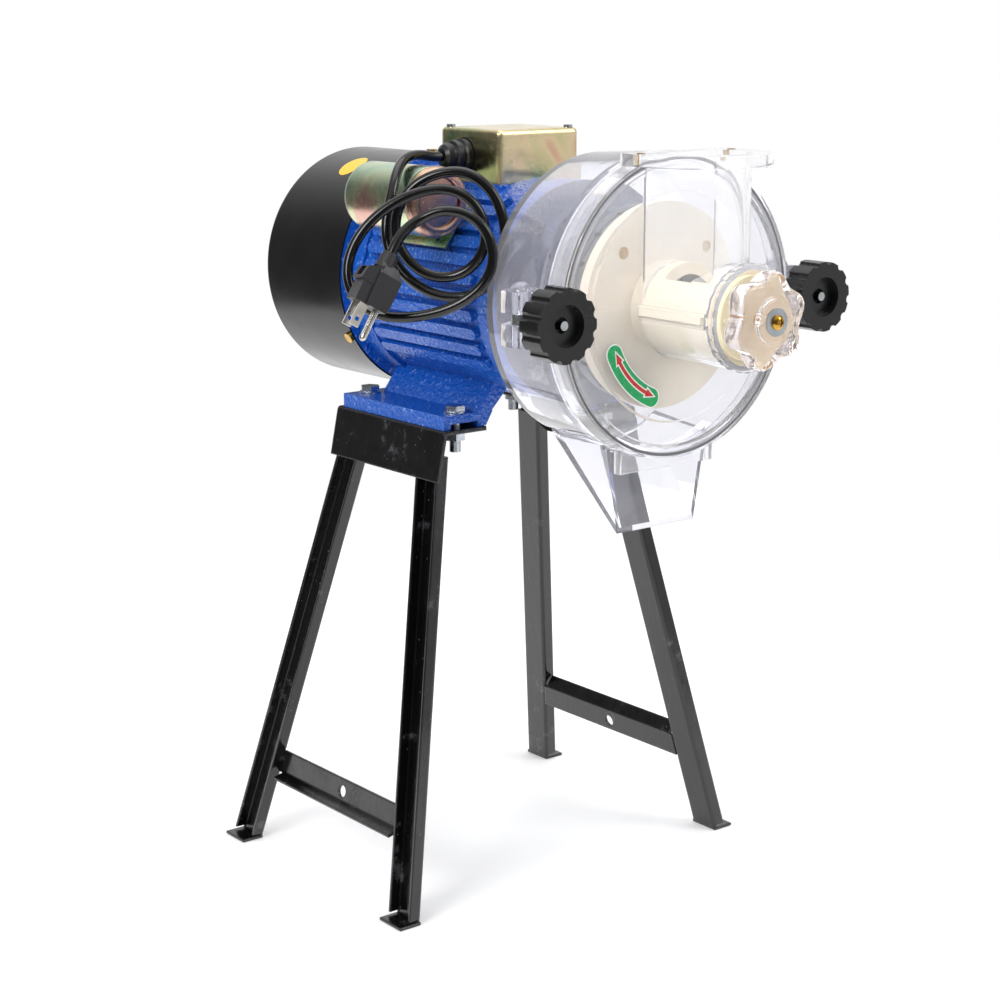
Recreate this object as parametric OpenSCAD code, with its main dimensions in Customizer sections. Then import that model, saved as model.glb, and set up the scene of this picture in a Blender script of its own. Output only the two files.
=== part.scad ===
/* [Stand] */
// Height of the bracket tops, where the motor feet sit
bracket_top = 338; // [330:1:346]
// Distance from the middle plane to the outer edge of a foot tab
foot_reach = 160; // [156:1:175]
// Distance from the middle plane to a leg's inner face on the floor
leg_foot_x = 142.5; // [140:0.5:146]
// Half the length over the legs on the floor
leg_foot_half = 116; // [105:1:130]
// Half the length over the legs at the bracket
leg_top_half = 62; // [56:1:64]
// Lean of the two side frames, in degrees
frame_lean = 11.5; // [11:0.1:12]
// Width of a leg's web
leg_w = 25; // [20:1:30]
// Depth of a leg's flanges
leg_flange = 10; // [8:1:12]
// Thickness of the sheet of the legs and braces
sheet_t = 2; // [1.5:0.5:3]
// Length of a bracket along the motor
bracket_len = 132; // [128:1:140]
// Thickness of a bracket
bracket_t = 3; // [2:0.5:4]
// Height of the hole in a brace
brace_z = 63; // [50:1:90]
// Diameter of the hole in a brace
brace_hole_d = 9; // [6:0.5:11]

/* [Motor] */
// Height of the shaft above the floor
shaft_z = 433; // [430:1:438]
// Length of a motor foot along the shaft
foot_len = 124; // [118:1:128]
// Thickness of a motor foot
foot_t = 10; // [8:1:12]
// Foot bolt spacing across the shaft
foot_pitch_x = 136; // [130:1:140]
// Foot bolt spacing along the shaft
foot_pitch_y = 104; // [100:1:108]
// Radius of the cast frame between its ribs
frame_r = 77; // [75:1:78]
// Radius over the ribs
rib_r = 82; // [81:1:84]
// Width of a rib
rib_w = 8; // [6:0.5:9]
// Ribs on each side
rib_count = 11; // [7:1:12]
// Radius of the fan cover
fan_cover_r = 88; // [87:0.5:92]
// Slots in the fan cover's back
fan_slots = 20; // [8:1:24]
// Blades on the cooling fan
fan_blades = 7; // [5:1:11]

/* [Terminal box and capacitor] */
// Terminal box width, length and height
box_size = [72, 68, 37.5];
// Radius of the capacitor can
can_r = 24; // [22:0.5:24.5]
// Sideways place of the can's axis
can_x = -90; // [-96:1:-88]
// Height of the can's axis
can_z = 497; // [494:1:502]

/* [Grinding head] */
// Radius of the clear drum and of its cover
drum_r = 102; // [100:0.5:104]
// Radius of the clear drum at its back
drum_back_r = 98; // [96:0.5:100]
// Thickness of the drum wall
drum_wall = 4; // [3:0.5:4.5]
// Radius of the grinding discs
disc_r = 66; // [60:1:68]
// Grooves in a grinding disc
disc_grooves = 18; // [8:1:24]
// Radius of the cream nylon disc carrier
carrier_r = 69; // [66:1:72]
// Outer radius of the feed tube
tube_r = 34; // [33.5:0.5:36]
// Wall of the feed tube and the hopper neck
tube_wall = 3; // [2.5:0.5:3]
// Half width of the hopper neck
neck_half = 33; // [30:1:34]
// Half width of the hopper flange
hopper_half = 47; // [44:1:50]
// Top of the hopper flange
hopper_top = 535; // [533:1:540]
// Half width of the chute at its top
chute_top_half = 47; // [42:1:50]
// Half width of the chute at its lip
chute_lip_half = 35; // [30:1:40]
// Height of the chute's lip
chute_lip_z = 281; // [270:1:295]

/* [Knobs] */
// Radius of a clamp knob
clamp_knob_r = 24; // [20:0.5:26]
// Grips round a clamp knob
clamp_grips = 12; // [8:1:14]
// Sideways place of a clamp bolt
clamp_x = 115; // [113:1:117]
// Mean radius of the fineness knob
fine_knob_r = 29; // [26:0.5:30]
// Lobes round the fineness knob
fine_lobes = 6; // [5:1:8]

/* [Hidden] */
$fn = 64;

black_paint = "#1c1d20";
cast_blue = "#1d49a8";
zinc_gold = "#b39a5c";
clear_plastic = [0.88, 0.9, 0.96, 0.4];
cream_nylon = "#efe6d2";
bright_steel = "#b9bcc0";
dark_rubber = "#2b2c2f";
brass = "#c79a4b";

eps = 1;
bolt_clear = 0.5;
fit_gap = 0.05;
run_gap = 0.3;

// Places along the shaft, from the front of the head (negative) to the back
stand_y = 78;
foot_y = 70;
bracket_y = 71;
drum_back = -57;
chute_back = -62.5;
drum_part = -122;
drum_lip = -133;
cover_front = -139;
plate_back = -133.5;
tube_front = -199;
frame_front = -35;
frame_back = 125;
fan_cover_front = 131;
fan_cover_back = 231;
neck_y = -155;
clamp_pivot_y = -114;

// Stand
leg_top_z = 318;
bracket_drop = 36;
leg_len = leg_top_z / cos(frame_lean) + 20;
leg_run = (bracket_top - bracket_drop) / cos(frame_lean);
bracket_under = bracket_top - bracket_t;
bracket_bend_x = leg_foot_x + (leg_flange + fit_gap) / cos(frame_lean) - bracket_under * tan(frame_lean);
bracket_inner = 50;
foot_bolt_r = 4;
bolt_head_af = 13;
brace_above = 9.5;
brace_below = 8;
brace_fold_w = 11;
brace_fold = 26;
tab_gap = 4;

// Motor
stator_r = 62;
stator_front = 20;
stator_back = 95;
rotor_r = 36.5;
shaft_r = 10;
collar_r = 80;
collar_w = 12;
rib_inset = collar_w + 5;
bearing_r = 23.5;
bearing_w = 14;
shield_bolt_r = 3;
box_front = 8;
box_base = 506;
box_round = 3.5;
box_wall = 1.5;
gland_y = 43;
gland_z = 525;
gland_tip_x = -60;
can_front = 4;
can_back = 86;
saddle_len = 71;
saddle_w = 40;

// Head
spigot_r = drum_r - 2.7;
spigot_in = spigot_r - 4;
disc_gap = 1;
fixed_back = -106;
fixed_front = -114;
sleeve_r = tube_r - tube_wall - run_gap;
sleeve_bore = 23;
sleeve_end = -200;
carrier_screw_r = 52.5;
hopper_t = 8;
hopper_back = -130;
insert_x = 40;
insert_y = -142;
clamp_gap = 7.6;
clamp_bolt_r = 3;
lug_h = 14;
ear_out = clamp_x + 2;
knob_back = -142;
knob_front = -160;
washer_back = cover_front - run_gap;
washer_front = knob_back + 1;
fine_back = -207.5;
fine_front = -226;

// Cord
cord_d = 7;
cord_sides = 8;
loop_rings = 24;
lead_rings = 8;
plug_neck = [-155.5, -30, 469.5];
plug_dir = [-0.52, 0.03, -0.86];
plug_roll = 11;
plug_face = 38;

// Cord loops, one row for each passing of the top or the bottom of the bundle:
// middle across, middle up, depth towards the viewer, half width and half height there
loop_rows = [
  [7, 4, -4, 64, 45],
  [15, -26, 6.6, 28, 18],
  [4, -3, 10.7, 42, 41],
  [6, 3, 7.4, 29, 34],
  [-2, -9, 19.8, 29, 35],
  [-16.4, -2, 31.4, 55, 56],
  [6.9, -45, 38.1, 37, 56]
];
loop_middle = [-102, -14.7, 480.3];
loop_across = unit([0.7, -0.714, 0]);
loop_up = [0.2, 0, 1];
loop_out = unit([-0.714, -0.7, 0.143]);
loop_first = 156;
loop_last = 1190;

function unit(v) = v / norm(v);
function eased(t) = (1 - cos(180 * t)) / 2;
function bezier(p, t) =
  pow(1 - t, 3) * p[0] + 3 * pow(1 - t, 2) * t * p[1] + 3 * (1 - t) * t * t * p[2] + pow(t, 3) * p[3];

// The loop's row at an angle, eased from one row to the next over half a turn
function loop_row(a) =
  let (half = min(max((a - 90) / 180, 0), len(loop_rows) - 1))
  let (low = min(floor(half), len(loop_rows) - 2))
  loop_rows[low] + eased(half - low) * (loop_rows[low + 1] - loop_rows[low]);
function loop_point(a) =
  let (row = loop_row(a))
  loop_middle + (row[0] + row[3] * cos(a)) * loop_across + (row[1] + row[4] * sin(a)) * loop_up
  + row[2] * loop_out;

gland_tip = [gland_tip_x, gland_y, gland_z];
cord_first = gland_tip - [cord_d, 0, 0];
cord_last = plug_neck - cord_d * unit(plug_dir);
loop_start = loop_point(loop_first);
loop_end = loop_point(loop_last);
lead_in = [cord_first, cord_first + [-30, 0, 6],
  loop_start - 35 * unit(loop_point(loop_first + 2) - loop_start), loop_start];
lead_out = [loop_end, loop_end + 13 * unit(loop_end - loop_point(loop_last - 2)),
  cord_last - 10 * unit(plug_dir), cord_last];
cord_steps = ceil((loop_last - loop_first) * loop_rings / 360);
cord_route = concat(
  [gland_tip],
  [for (i = [0 : lead_rings - 1]) bezier(lead_in, i / lead_rings)],
  [for (i = [0 : cord_steps]) loop_point(loop_first + (loop_last - loop_first) * i / cord_steps)],
  [for (i = [2 : 2 : lead_rings]) bezier(lead_out, i / lead_rings)],
  [plug_neck]
);

// Length of the cord, and the least gap between stretches more than a quarter loop apart
function route_length(p, i = 1) = i >= len(p) ? 0 : norm(p[i] - p[i - 1]) + route_length(p, i + 1);
far_steps = loop_rings / 2;
cord_count = len(cord_route);
cord_gap = min([for (i = [0 : cord_count - 1]) for (j = [i + far_steps : 1 : cord_count - 1])
  norm(cord_route[i] - cord_route[j])]) - cord_d;
echo(cord_length = route_length(cord_route), cord_gap = cord_gap);

// Turns a shape that stands on Z so that it lies along the shaft
module on_shaft() {
  translate([0, 0, shaft_z]) rotate([-90, 0, 0]) children();
}

// Extrudes an outline drawn in X and Z from y0 to y1
module across_y(y0, y1) {
  translate([0, y1, 0]) rotate([90, 0, 0]) linear_extrude(y1 - y0) children();
}

// Extrudes an outline drawn in Y and Z from x0 to x1
module across_x(x0, x1) {
  translate([x0, 0, 0]) rotate([90, 0, 90]) linear_extrude(x1 - x0) children();
}

// Round bar along the shaft's direction
module bar_y(x, z, r, y0, y1) {
  translate([x, y0, z]) rotate([-90, 0, 0]) cylinder(r = r, h = y1 - y0);
}

// Ring round the shaft
module ring_y(r_out, r_in, y0, y1) {
  on_shaft() translate([0, 0, y0]) difference() {
    cylinder(r = r_out, h = y1 - y0);
    translate([0, 0, -eps]) cylinder(r = r_in, h = y1 - y0 + 2 * eps);
  }
}

// Copies a shape to the other side of the middle plane where side is -1
module on_side(side) {
  mirror([side < 0 ? 1 : 0, 0, 0]) children();
}

// Puts a shape into the leaning plane of a side frame
module in_frame(side) {
  on_side(side) translate([leg_foot_x, 0, 0]) rotate([0, -frame_lean, 0]) children();
}

// Box whose edges are all rounded
module rounded_box(size, r) {
  translate([0, r, r]) cube([size[0], size[1] - 2 * r, size[2] - 2 * r]);
  translate([r, 0, r]) cube([size[0] - 2 * r, size[1], size[2] - 2 * r]);
  translate([r, r, 0]) cube([size[0] - 2 * r, size[1] - 2 * r, size[2]]);
  for (x = [r, size[0] - r]) {
    for (y = [r, size[1] - r]) {
      translate([x, y, r]) cylinder(r = r, h = size[2] - 2 * r);
      translate([x, y, r]) sphere(r = r);
      translate([x, y, size[2] - r]) sphere(r = r);
    }
    for (z = [r, size[2] - r])
      translate([x, r, z]) rotate([-90, 0, 0]) cylinder(r = r, h = size[1] - 2 * r);
  }
  for (y = [r, size[1] - r]) for (z = [r, size[2] - r])
    translate([r, y, z]) rotate([0, 90, 0]) cylinder(r = r, h = size[0] - 2 * r);
}

// Hexagon head or nut blank, standing on Z
module hexagon(af, h) {
  cylinder(d = af / cos(30), h = h, $fn = 6);
}

// Places of the four motor foot bolts
module at_foot_bolts() {
  for (x = [-1, 1]) for (y = [-1, 1])
    translate([x * foot_pitch_x / 2, foot_y + y * foot_pitch_y / 2, 0]) children();
}

// Slope of a leg in its frame: how far its outer edge moves in for each millimetre of height
function leg_slope(end) = (stand_y + end * leg_foot_half - bracket_y - end * leg_top_half) / leg_run;

// Channel leg with its foot tab; end is -1 at the front and 1 at the back
module leg(side, end) {
  foot_edge = stand_y + end * leg_foot_half;
  inner = end > 0 ? -leg_w : 0;
  color(black_paint) {
    difference() {
      in_frame(side) translate([0, foot_edge, 0]) rotate([atan(leg_slope(end)), 0, 0])
        translate([0, inner, -20]) linear_extrude(leg_len + 20) leg_section();
      translate([-300, -300, -100]) cube([600, 800, 100]);
      translate([-300, -300, leg_top_z]) cube([600, 800, 100]);
      on_side(side) translate([leg_foot_x + sheet_t, -300, -eps]) cube([60, 800, tab_gap + eps]);
    }
    on_side(side) translate([leg_foot_x, foot_edge + inner, 0])
      cube([foot_reach - leg_foot_x, leg_w, sheet_t]);
  }
}

// Channel section of a leg: the web lies on Y and the flanges point to +X
module leg_section() {
  bend = sheet_t + 0.5;
  difference() {
    union() {
      translate([bend, 0]) square([leg_flange - bend, leg_w]);
      translate([0, bend]) square([leg_flange, leg_w - 2 * bend]);
      for (y = [bend, leg_w - bend]) translate([bend, y]) circle(r = bend);
    }
    translate([sheet_t, sheet_t]) square([leg_flange, leg_w - 2 * sheet_t]);
  }
}

// Bent strip that ties a pair of legs; the fold is below on one side and above on the other
module brace(side, fold_up) {
  low = brace_z / cos(frame_lean) - brace_below;
  high = low + brace_above + brace_below;
  front = function (v) stand_y - leg_foot_half + leg_w / cos(atan(leg_slope(-1))) - v * leg_slope(-1);
  back = function (v) stand_y + leg_foot_half - leg_w / cos(atan(leg_slope(1))) - v * leg_slope(1);
  fold_v = fold_up ? high : low;
  fold_front = front(high + brace_fold_w) + 0.5;
  fold_back = back(high + brace_fold_w) - 0.5;
  turn = fold_up ? -45 : brace_fold;
  color(black_paint) in_frame(side) difference() {
    union() {
      across_x(0, sheet_t)
        polygon([[front(low), low], [back(low), low], [back(high), high], [front(high), high]]);
      translate([0, fold_front, fold_v]) rotate([0, turn, 0])
        translate([0, 0, fold_up ? -sheet_t : 0]) cube([brace_fold_w, fold_back - fold_front, sheet_t]);
    }
    translate([-eps, foot_y + 4, low + brace_below]) rotate([0, 90, 0])
      cylinder(d = brace_hole_d, h = 20);
  }
}

// Folded bracket between the legs and the motor foot
module bracket(side) {
  front = bracket_y - bracket_len / 2;
  color(black_paint) difference() {
    on_side(side) across_y(front, front + bracket_len) bracket_section();
    at_foot_bolts() translate([0, 0, bracket_under - eps])
      cylinder(r = foot_bolt_r + bolt_clear, h = bracket_t + 2 * eps);
  }
}

// Side view of the seat flange, the bend and the drop flange
module bracket_section() {
  steps = 6;
  seat = bracket_inner - bracket_bend_x;
  drop = (bracket_drop - bracket_t) * [tan(frame_lean), -1];
  bend = [for (i = [0 : steps]) let (a = 90 - (90 - frame_lean) * i / steps) bracket_t * [cos(a), sin(a)]];
  translate([bracket_bend_x, bracket_under])
    polygon(concat([[seat, bracket_t]], bend, [bend[steps] + drop, drop, [0, 0], [seat, 0]]));
}

module left_bracket() { bracket(-1); }
module right_bracket() { bracket(1); }
module left_front_leg() { leg(-1, -1); }
module left_rear_leg() { leg(-1, 1); }
module right_front_leg() { leg(1, -1); }
module right_rear_leg() { leg(1, 1); }
module left_brace() { brace(-1, false); }
module right_brace() { brace(1, true); }

module foot_bolts() {
  color(bright_steel) at_foot_bolts() {
    translate([0, 0, bracket_top - 18]) cylinder(r = foot_bolt_r, h = foot_t + 20);
    translate([0, 0, bracket_top + foot_t]) cylinder(r = 8, h = 1.2);
    translate([0, 0, bracket_top + foot_t + 1.2]) hexagon(bolt_head_af, 4);
  }
}

module foot_nuts() {
  color(bright_steel) at_foot_bolts() translate([0, 0, bracket_under - 6.5]) difference() {
    hexagon(bolt_head_af, 6.5);
    translate([0, 0, -eps]) cylinder(r = foot_bolt_r + fit_gap, h = 6.5 + 2 * eps);
  }
}

// Section of the sloping web between a motor foot and the round frame
module web_section() {
  top = bracket_top + foot_t;
  polygon([[55, top - eps], [55, top], [38, 371], [30, 384], [16, 376], [43, top], [43, top - eps]]);
}

// Section of a motor foot, hollowed underneath
module foot_section() {
  outer = foot_pitch_x / 2 + 17;
  top = bracket_top + foot_t;
  difference() {
    polygon([[outer, bracket_top], [outer, top], [42, top], [48, bracket_top]]);
    translate([55, bracket_top - eps]) square([24, 4 + eps]);
  }
}

// Flat outline of a rib with round ends
module rib_outline(w, length) {
  polygon(concat(
    [for (a = [180 : 30 : 360]) w / 2 * [cos(a), 1 + sin(a)]],
    [for (a = [0 : 30 : 180]) [w / 2 * cos(a), length - w / 2 * (1 - sin(a))]]
  ));
}

// Cast frame: a ribbed barrel with a collar at each end, feet below and a seat for the terminal box
module motor_frame() {
  foot_front = foot_y - foot_len / 2;
  color(cast_blue) difference() {
    union() {
      bar_y(0, shaft_z, frame_r, frame_front + eps, frame_back - eps);
      bar_y(0, shaft_z, collar_r, frame_front, frame_front + collar_w);
      bar_y(0, shaft_z, collar_r, frame_back - collar_w, frame_back);
      for (side = [0, 180]) for (i = [0 : rib_count - 1]) on_shaft()
        rotate([0, 0, side + (side == 0 ? -1 : 1) * (-36 + 9 * i)]) translate([0, 0, frame_front + rib_inset])
          across_x(frame_r - 2, rib_r) rib_outline(rib_w, frame_back - frame_front - 2 * rib_inset);
      translate([-box_size[0] / 2, box_front, shaft_z + 40])
        cube([box_size[0], box_size[1], box_base - shaft_z - 40]);
      for (side = [-1, 1]) on_side(side) {
        across_y(foot_front, foot_front + foot_len) foot_section();
        across_y(foot_front, frame_back - 2) web_section();
      }
    }
    bar_y(0, shaft_z, stator_r, frame_front - 20, frame_back + 20);
    translate([-box_size[0] / 2, box_front, box_base]) cube([box_size[0], box_size[1], 20]);
    at_foot_bolts() translate([0, 0, bracket_top - eps])
      cylinder(r = foot_bolt_r + bolt_clear, h = foot_t + 2 * eps);
    end_bolt_holes(frame_front - eps, frame_front + 10);
    end_bolt_holes(frame_back - 10, frame_back + eps);
  }
}

// Places round the shaft for a ring of count fasteners
module round_shaft(count, r, first) {
  on_shaft() for (i = [0 : count - 1])
    rotate([0, 0, first + i * 360 / count]) translate([r, 0, 0]) children();
}

module end_bolt_holes(y0, y1) {
  round_shaft(4, 70.5, 45) translate([0, 0, y0]) cylinder(r = shield_bolt_r + fit_gap, h = y1 - y0);
}

module front_end_shield() {
  color(cast_blue) difference() {
    on_shaft() rotate_extrude() polygon([
      [shaft_r + 1, drum_back + 0.2], [58, drum_back + 0.2], [63, -45.5], [collar_r, -45.5],
      [collar_r, frame_front], [58, frame_front], [52, -49], [32, -50], [32, -39],
      [bearing_r + fit_gap, -39], [bearing_r + fit_gap, -53.5], [shaft_r + 1, -53.5]
    ]);
    end_bolt_holes(-50, frame_front + eps);
    round_shaft(4, 44, 0) translate([0, 0, drum_back - eps]) cylinder(r = 2.5, h = 8);
  }
}

module rear_end_shield() {
  color(cast_blue) difference() {
    union() {
      on_shaft() rotate_extrude() polygon([
        [shaft_r + 1, 147], [30, 147], [34, 140], [60, 135], [collar_r, 135], [collar_r, frame_back],
        [58, frame_back], [50, 131], [32, 132], [32, 128], [bearing_r + fit_gap, 128],
        [bearing_r + fit_gap, 143], [shaft_r + 1, 143]
      ]);
      ring_y(fan_cover_r - 1.4, 77, fan_cover_front, fan_cover_front + 8);
    }
    end_bolt_holes(frame_back - eps, 148);
    fan_screw_holes();
  }
}

// Three radial screws hold the fan cover, the first at the top
module at_fan_screws() {
  on_shaft() for (a = [-90, 30, 150]) rotate([0, 0, a])
    translate([fan_cover_r, 0, fan_cover_front + 4]) rotate([0, 90, 0]) children();
}

module fan_screw_holes() {
  at_fan_screws() translate([0, 0, -9]) cylinder(r = 2.1, h = 12);
}

module end_shield_bolts() {
  color(bright_steel) {
    round_shaft(4, 70.5, 45) {
      translate([0, 0, -45.6]) rotate([180, 0, 0]) hexagon(10, 4.5);
      translate([0, 0, -46]) cylinder(r = shield_bolt_r, h = 20);
    }
    round_shaft(4, 70.5, 45) {
      translate([0, 0, 135.1]) hexagon(10, 4.5);
      translate([0, 0, 116]) cylinder(r = shield_bolt_r, h = 20);
    }
  }
}

module stator_core() {
  color("#6d6f73") ring_y(stator_r - fit_gap, rotor_r + 0.5, stator_front, stator_back);
}

// Two rounded winding heads, one at each end of the core
module stator_windings() {
  color("#8a3f24") on_shaft() for (y = [stator_front - 11, stator_back + 11]) translate([0, 0, y])
    rotate_extrude() {
      translate([50, 0]) circle(r = 8);
      translate([42, y < stator_back ? 0 : -11]) square([16, 11]);
    }
}

// Sealed ball bearing with its shield grooves
module bearing(y) {
  color(bright_steel) on_shaft() translate([0, 0, y]) rotate_extrude() difference() {
    translate([shaft_r + fit_gap, 0]) square([bearing_r - shaft_r - fit_gap, bearing_w]);
    for (end = [-1, bearing_w - 1]) translate([shaft_r + 4, end]) square([6, 2]);
  }
}

module front_bearing() { bearing(-53.5 + fit_gap); }
module rear_bearing() { bearing(129 - fit_gap); }

// Drawn cup of the fan cover with slots in its back
module fan_cover() {
  t = 1.2;
  round_r = 3.5;
  color(black_paint) difference() {
    on_shaft() rotate_extrude() difference() {
      cup_section(fan_cover_r, fan_cover_front, fan_cover_back, round_r);
      cup_section(fan_cover_r - t, fan_cover_front - eps, fan_cover_back - t, round_r - t);
    }
    round_shaft(fan_slots, 0, 0) translate([30, -2, fan_cover_back - 5]) cube([38, 4, 10]);
    on_shaft() translate([0, 0, fan_cover_back - 5]) cylinder(r = 6, h = 10);
    fan_screw_holes();
  }
}

// Half section of a cup whose closed end is rounded
module cup_section(r, y0, y1, round_r) {
  translate([0, y0]) square([r, y1 - y0 - round_r]);
  translate([0, y1 - round_r - eps]) square([r - round_r, round_r + eps]);
  translate([r - round_r, y1 - round_r]) circle(r = round_r);
}

module fan_cover_screws() {
  color(brass) at_fan_screws() {
    cylinder(r = 4, h = 2.4);
    translate([0, 0, -8]) cylinder(r = 2, h = 9);
  }
}

module terminal_box() {
  color(zinc_gold) difference() {
    translate([-box_size[0] / 2, box_front, box_base - box_round])
      rounded_box([box_size[0], box_size[1], box_size[2] + box_round], box_round);
    translate([-box_size[0], 0, box_base - 2 * box_round])
      cube([2 * box_size[0], 2 * box_size[1], 2 * box_round]);
    translate([box_wall - box_size[0] / 2, box_front + box_wall, box_base - eps])
      cube([box_size[0] - 2 * box_wall, box_size[1] - 2 * box_wall, box_size[2] - 4]);
    translate([-box_size[0] / 2 - eps, gland_y, gland_z]) rotate([0, 90, 0]) cylinder(r = 9, h = 10);
    at_box_screws() translate([0, 0, -8]) cylinder(r = 2.1, h = 10);
  }
}

// Two screws on a diagonal of the box top
module at_box_screws() {
  inset = 5.5;
  top = box_base + box_size[2];
  translate([inset - box_size[0] / 2, box_front + box_size[1] - inset, top]) children();
  translate([box_size[0] / 2 - inset, box_front + inset, top]) children();
}

module terminal_box_screws() {
  color(bright_steel) at_box_screws() {
    cylinder(r = 3.2, h = 1.8);
    translate([0, 0, -7]) cylinder(r = 2, h = 8);
  }
}

module terminal_block() {
  posts = [-14, 0, 14];
  color("#3a2a22") translate([0, box_front + box_size[1] / 2, box_base]) difference() {
    translate([-22, -12, 0]) cube([44, 24, 14]);
    for (x = posts) for (y = [-6, 6]) translate([x, y, 8]) cylinder(r = 3, h = 8);
  }
}

// Ribbed rubber gland that tapers down to the cord
module cable_gland() {
  base_x = box_size[0] / 2;
  color(dark_rubber) translate([0, gland_y, gland_z]) rotate([0, -90, 0]) {
    translate([0, 0, base_x - 5]) cylinder(r = 8.8, h = 6);
    translate([0, 0, base_x]) cylinder(r = 12.5, h = 3.5);
    rotate_extrude() polygon([
      [0, base_x + 3], [11.5, base_x + 3], [11.5, base_x + 8], [10, base_x + 9], [10, base_x + 11],
      [11, base_x + 12], [10.5, base_x + 15], [8.6, base_x + 16], [8.6, base_x + 18], [9.4, base_x + 19],
      [8, base_x + 22], [5.4, -gland_tip_x], [0, -gland_tip_x]
    ]);
  }
}

module on_can() {
  translate([can_x, 0, can_z]) rotate([-90, 0, 0]) children();
}

module capacitor_can() {
  t = 0.8;
  color(zinc_gold) on_can() rotate_extrude() difference() {
    cup_section(can_r, can_front + 8, can_back, 3);
    cup_section(can_r - t, can_front + 7, can_back - t, 3 - t);
  }
}

// Lid with a rolled edge and a rim that slips into the can
module capacitor_cap() {
  r = can_r - 0.85;
  color(zinc_gold) on_can() rotate_extrude() mirror([0, 1]) difference() {
    union() {
      cup_section(can_r, -can_front - 7.9, -can_front, 3);
      translate([0, -can_front - 15]) square([r, 10]);
      translate([can_r - 1.4, -can_front - 5.5]) circle(r = 2);
    }
    translate([-eps, -can_front - 16]) square([r - 1 + eps, 15]);
    translate([0, -can_front - 1]) square([17, 2]);
  }
}

module capacitor() {
  color("#d9d9d6") on_can() translate([0, 0, can_front + 2]) cylinder(r = 20, h = can_back - can_front - 5);
}

// Bent plate that carries the capacitor housing on the ribs
module capacitor_saddle() {
  lift = atan2(can_z - shaft_z, -can_x);
  reach = norm([can_x, can_z - shaft_z]) - can_r - fit_gap;
  low = rib_r + fit_gap;
  color(zinc_gold) on_shaft() rotate([0, 0, 180 + lift]) translate([0, 0, can_front + 9]) difference() {
    union() {
      translate([low, -saddle_w / 2, 0]) cube([1.6, saddle_w, saddle_len]);
      translate([low, -5, 0]) cube([reach - low, 10, saddle_len]);
    }
    for (s = [-1, 1]) for (y = [12, saddle_len - 12])
      translate([low - eps, s * (saddle_w / 2 - 6), y]) rotate([0, 90, 0]) cylinder(r = 2.2, h = 6);
  }
}

module motor_shaft() {
  color(bright_steel) on_shaft() rotate_extrude() polygon([
    [0, fixed_back], [shaft_r, fixed_back], [shaft_r, -38.5], [shaft_r + 2, -38.5], [shaft_r + 2, 126],
    [shaft_r, 126], [shaft_r, 168], [8, 168], [8, 200], [0, 200]
  ]);
}

module rotor_core() {
  color("#83868b") ring_y(rotor_r, shaft_r + 2 + fit_gap, stator_front, stator_back);
}

module cooling_fan() {
  color(dark_rubber) {
    ring_y(16, 8 + fit_gap, 170, 198);
    ring_y(72, 15, 170, 172.5);
    round_shaft(fan_blades, 0, 0) translate([15, -1.2, 172]) cube([55, 2.4, 24]);
  }
}

// Flanged hub that drives the rotating disc
module disc_hub() {
  color(bright_steel) {
    ring_y(16, shaft_r + fit_gap, -88, -74);
    ring_y(34, shaft_r + fit_gap, fixed_back + disc_gap + 8, -88);
  }
}

// Grinding disc with slanting grooves in the face at y_face; depth points into the disc
module grinding_disc(bore, y0, y1, y_face) {
  depth = 2.5;
  color("#77797c") difference() {
    ring_y(disc_r, bore, y0, y1);
    round_shaft(disc_grooves, 0, 0) rotate([0, 0, 12]) translate([bore + 6, -7, y_face - depth])
      cube([disc_r, 3, 2 * depth]);
  }
}

module rotating_disc() {
  grinding_disc(shaft_r + fit_gap, fixed_back + disc_gap, fixed_back + disc_gap + 8, fixed_back + disc_gap);
}

module fixed_disc() {
  grinding_disc(sleeve_bore + 1, fixed_front, fixed_back, fixed_back);
}

// Feed screw: a core with two flights wound round it
module auger() {
  color(bright_steel) on_shaft() translate([0, 0, -192]) {
    cylinder(r = 8, h = 86 - fit_gap);
    linear_extrude(74, twist = -540, slices = 54) square([42, 4], center = true);
  }
}

// Side view of the chute: it opens from the whole drum and slopes forward to the lip
module chute_side(wall) {
  back = chute_back - wall;
  polygon([
    [back, 352], [back, 344 + wall], [-118, chute_lip_z + 1.3 * wall],
    [-118 - eps * wall, chute_lip_z + 1.3 * wall], [-118 - eps * wall, 352]
  ]);
}

// Front view of the chute between its side walls
module chute_front(wall) {
  polygon([
    [wall - chute_top_half, 352], [wall - chute_lip_half, chute_lip_z - eps],
    [chute_lip_half - wall, chute_lip_z - eps], [chute_top_half - wall, 352]
  ]);
}

module chute_solid(wall) {
  intersection() {
    across_x(-60, 60) chute_side(wall);
    across_y(-122, -60) chute_front(wall);
  }
}

// Pair of eye lugs for a swing bolt, with their outer back corner cut off
module clamp_lugs(side) {
  difference() {
    on_side(side) translate([0, 0, shaft_z - clamp_gap / 2 - lug_h])
      linear_extrude(2 * lug_h + clamp_gap) polygon([
        [90, -94], [104, -94], [clamp_x + 9, -105], [clamp_x + 9, drum_part], [90, drum_part]
      ]);
    on_side(side) translate([drum_r - 1, -130, shaft_z - clamp_gap / 2]) cube([40, 60, clamp_gap]);
    translate([side * clamp_x, clamp_pivot_y, shaft_z - 40]) cylinder(r = clamp_bolt_r + fit_gap, h = 80);
  }
}

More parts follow.
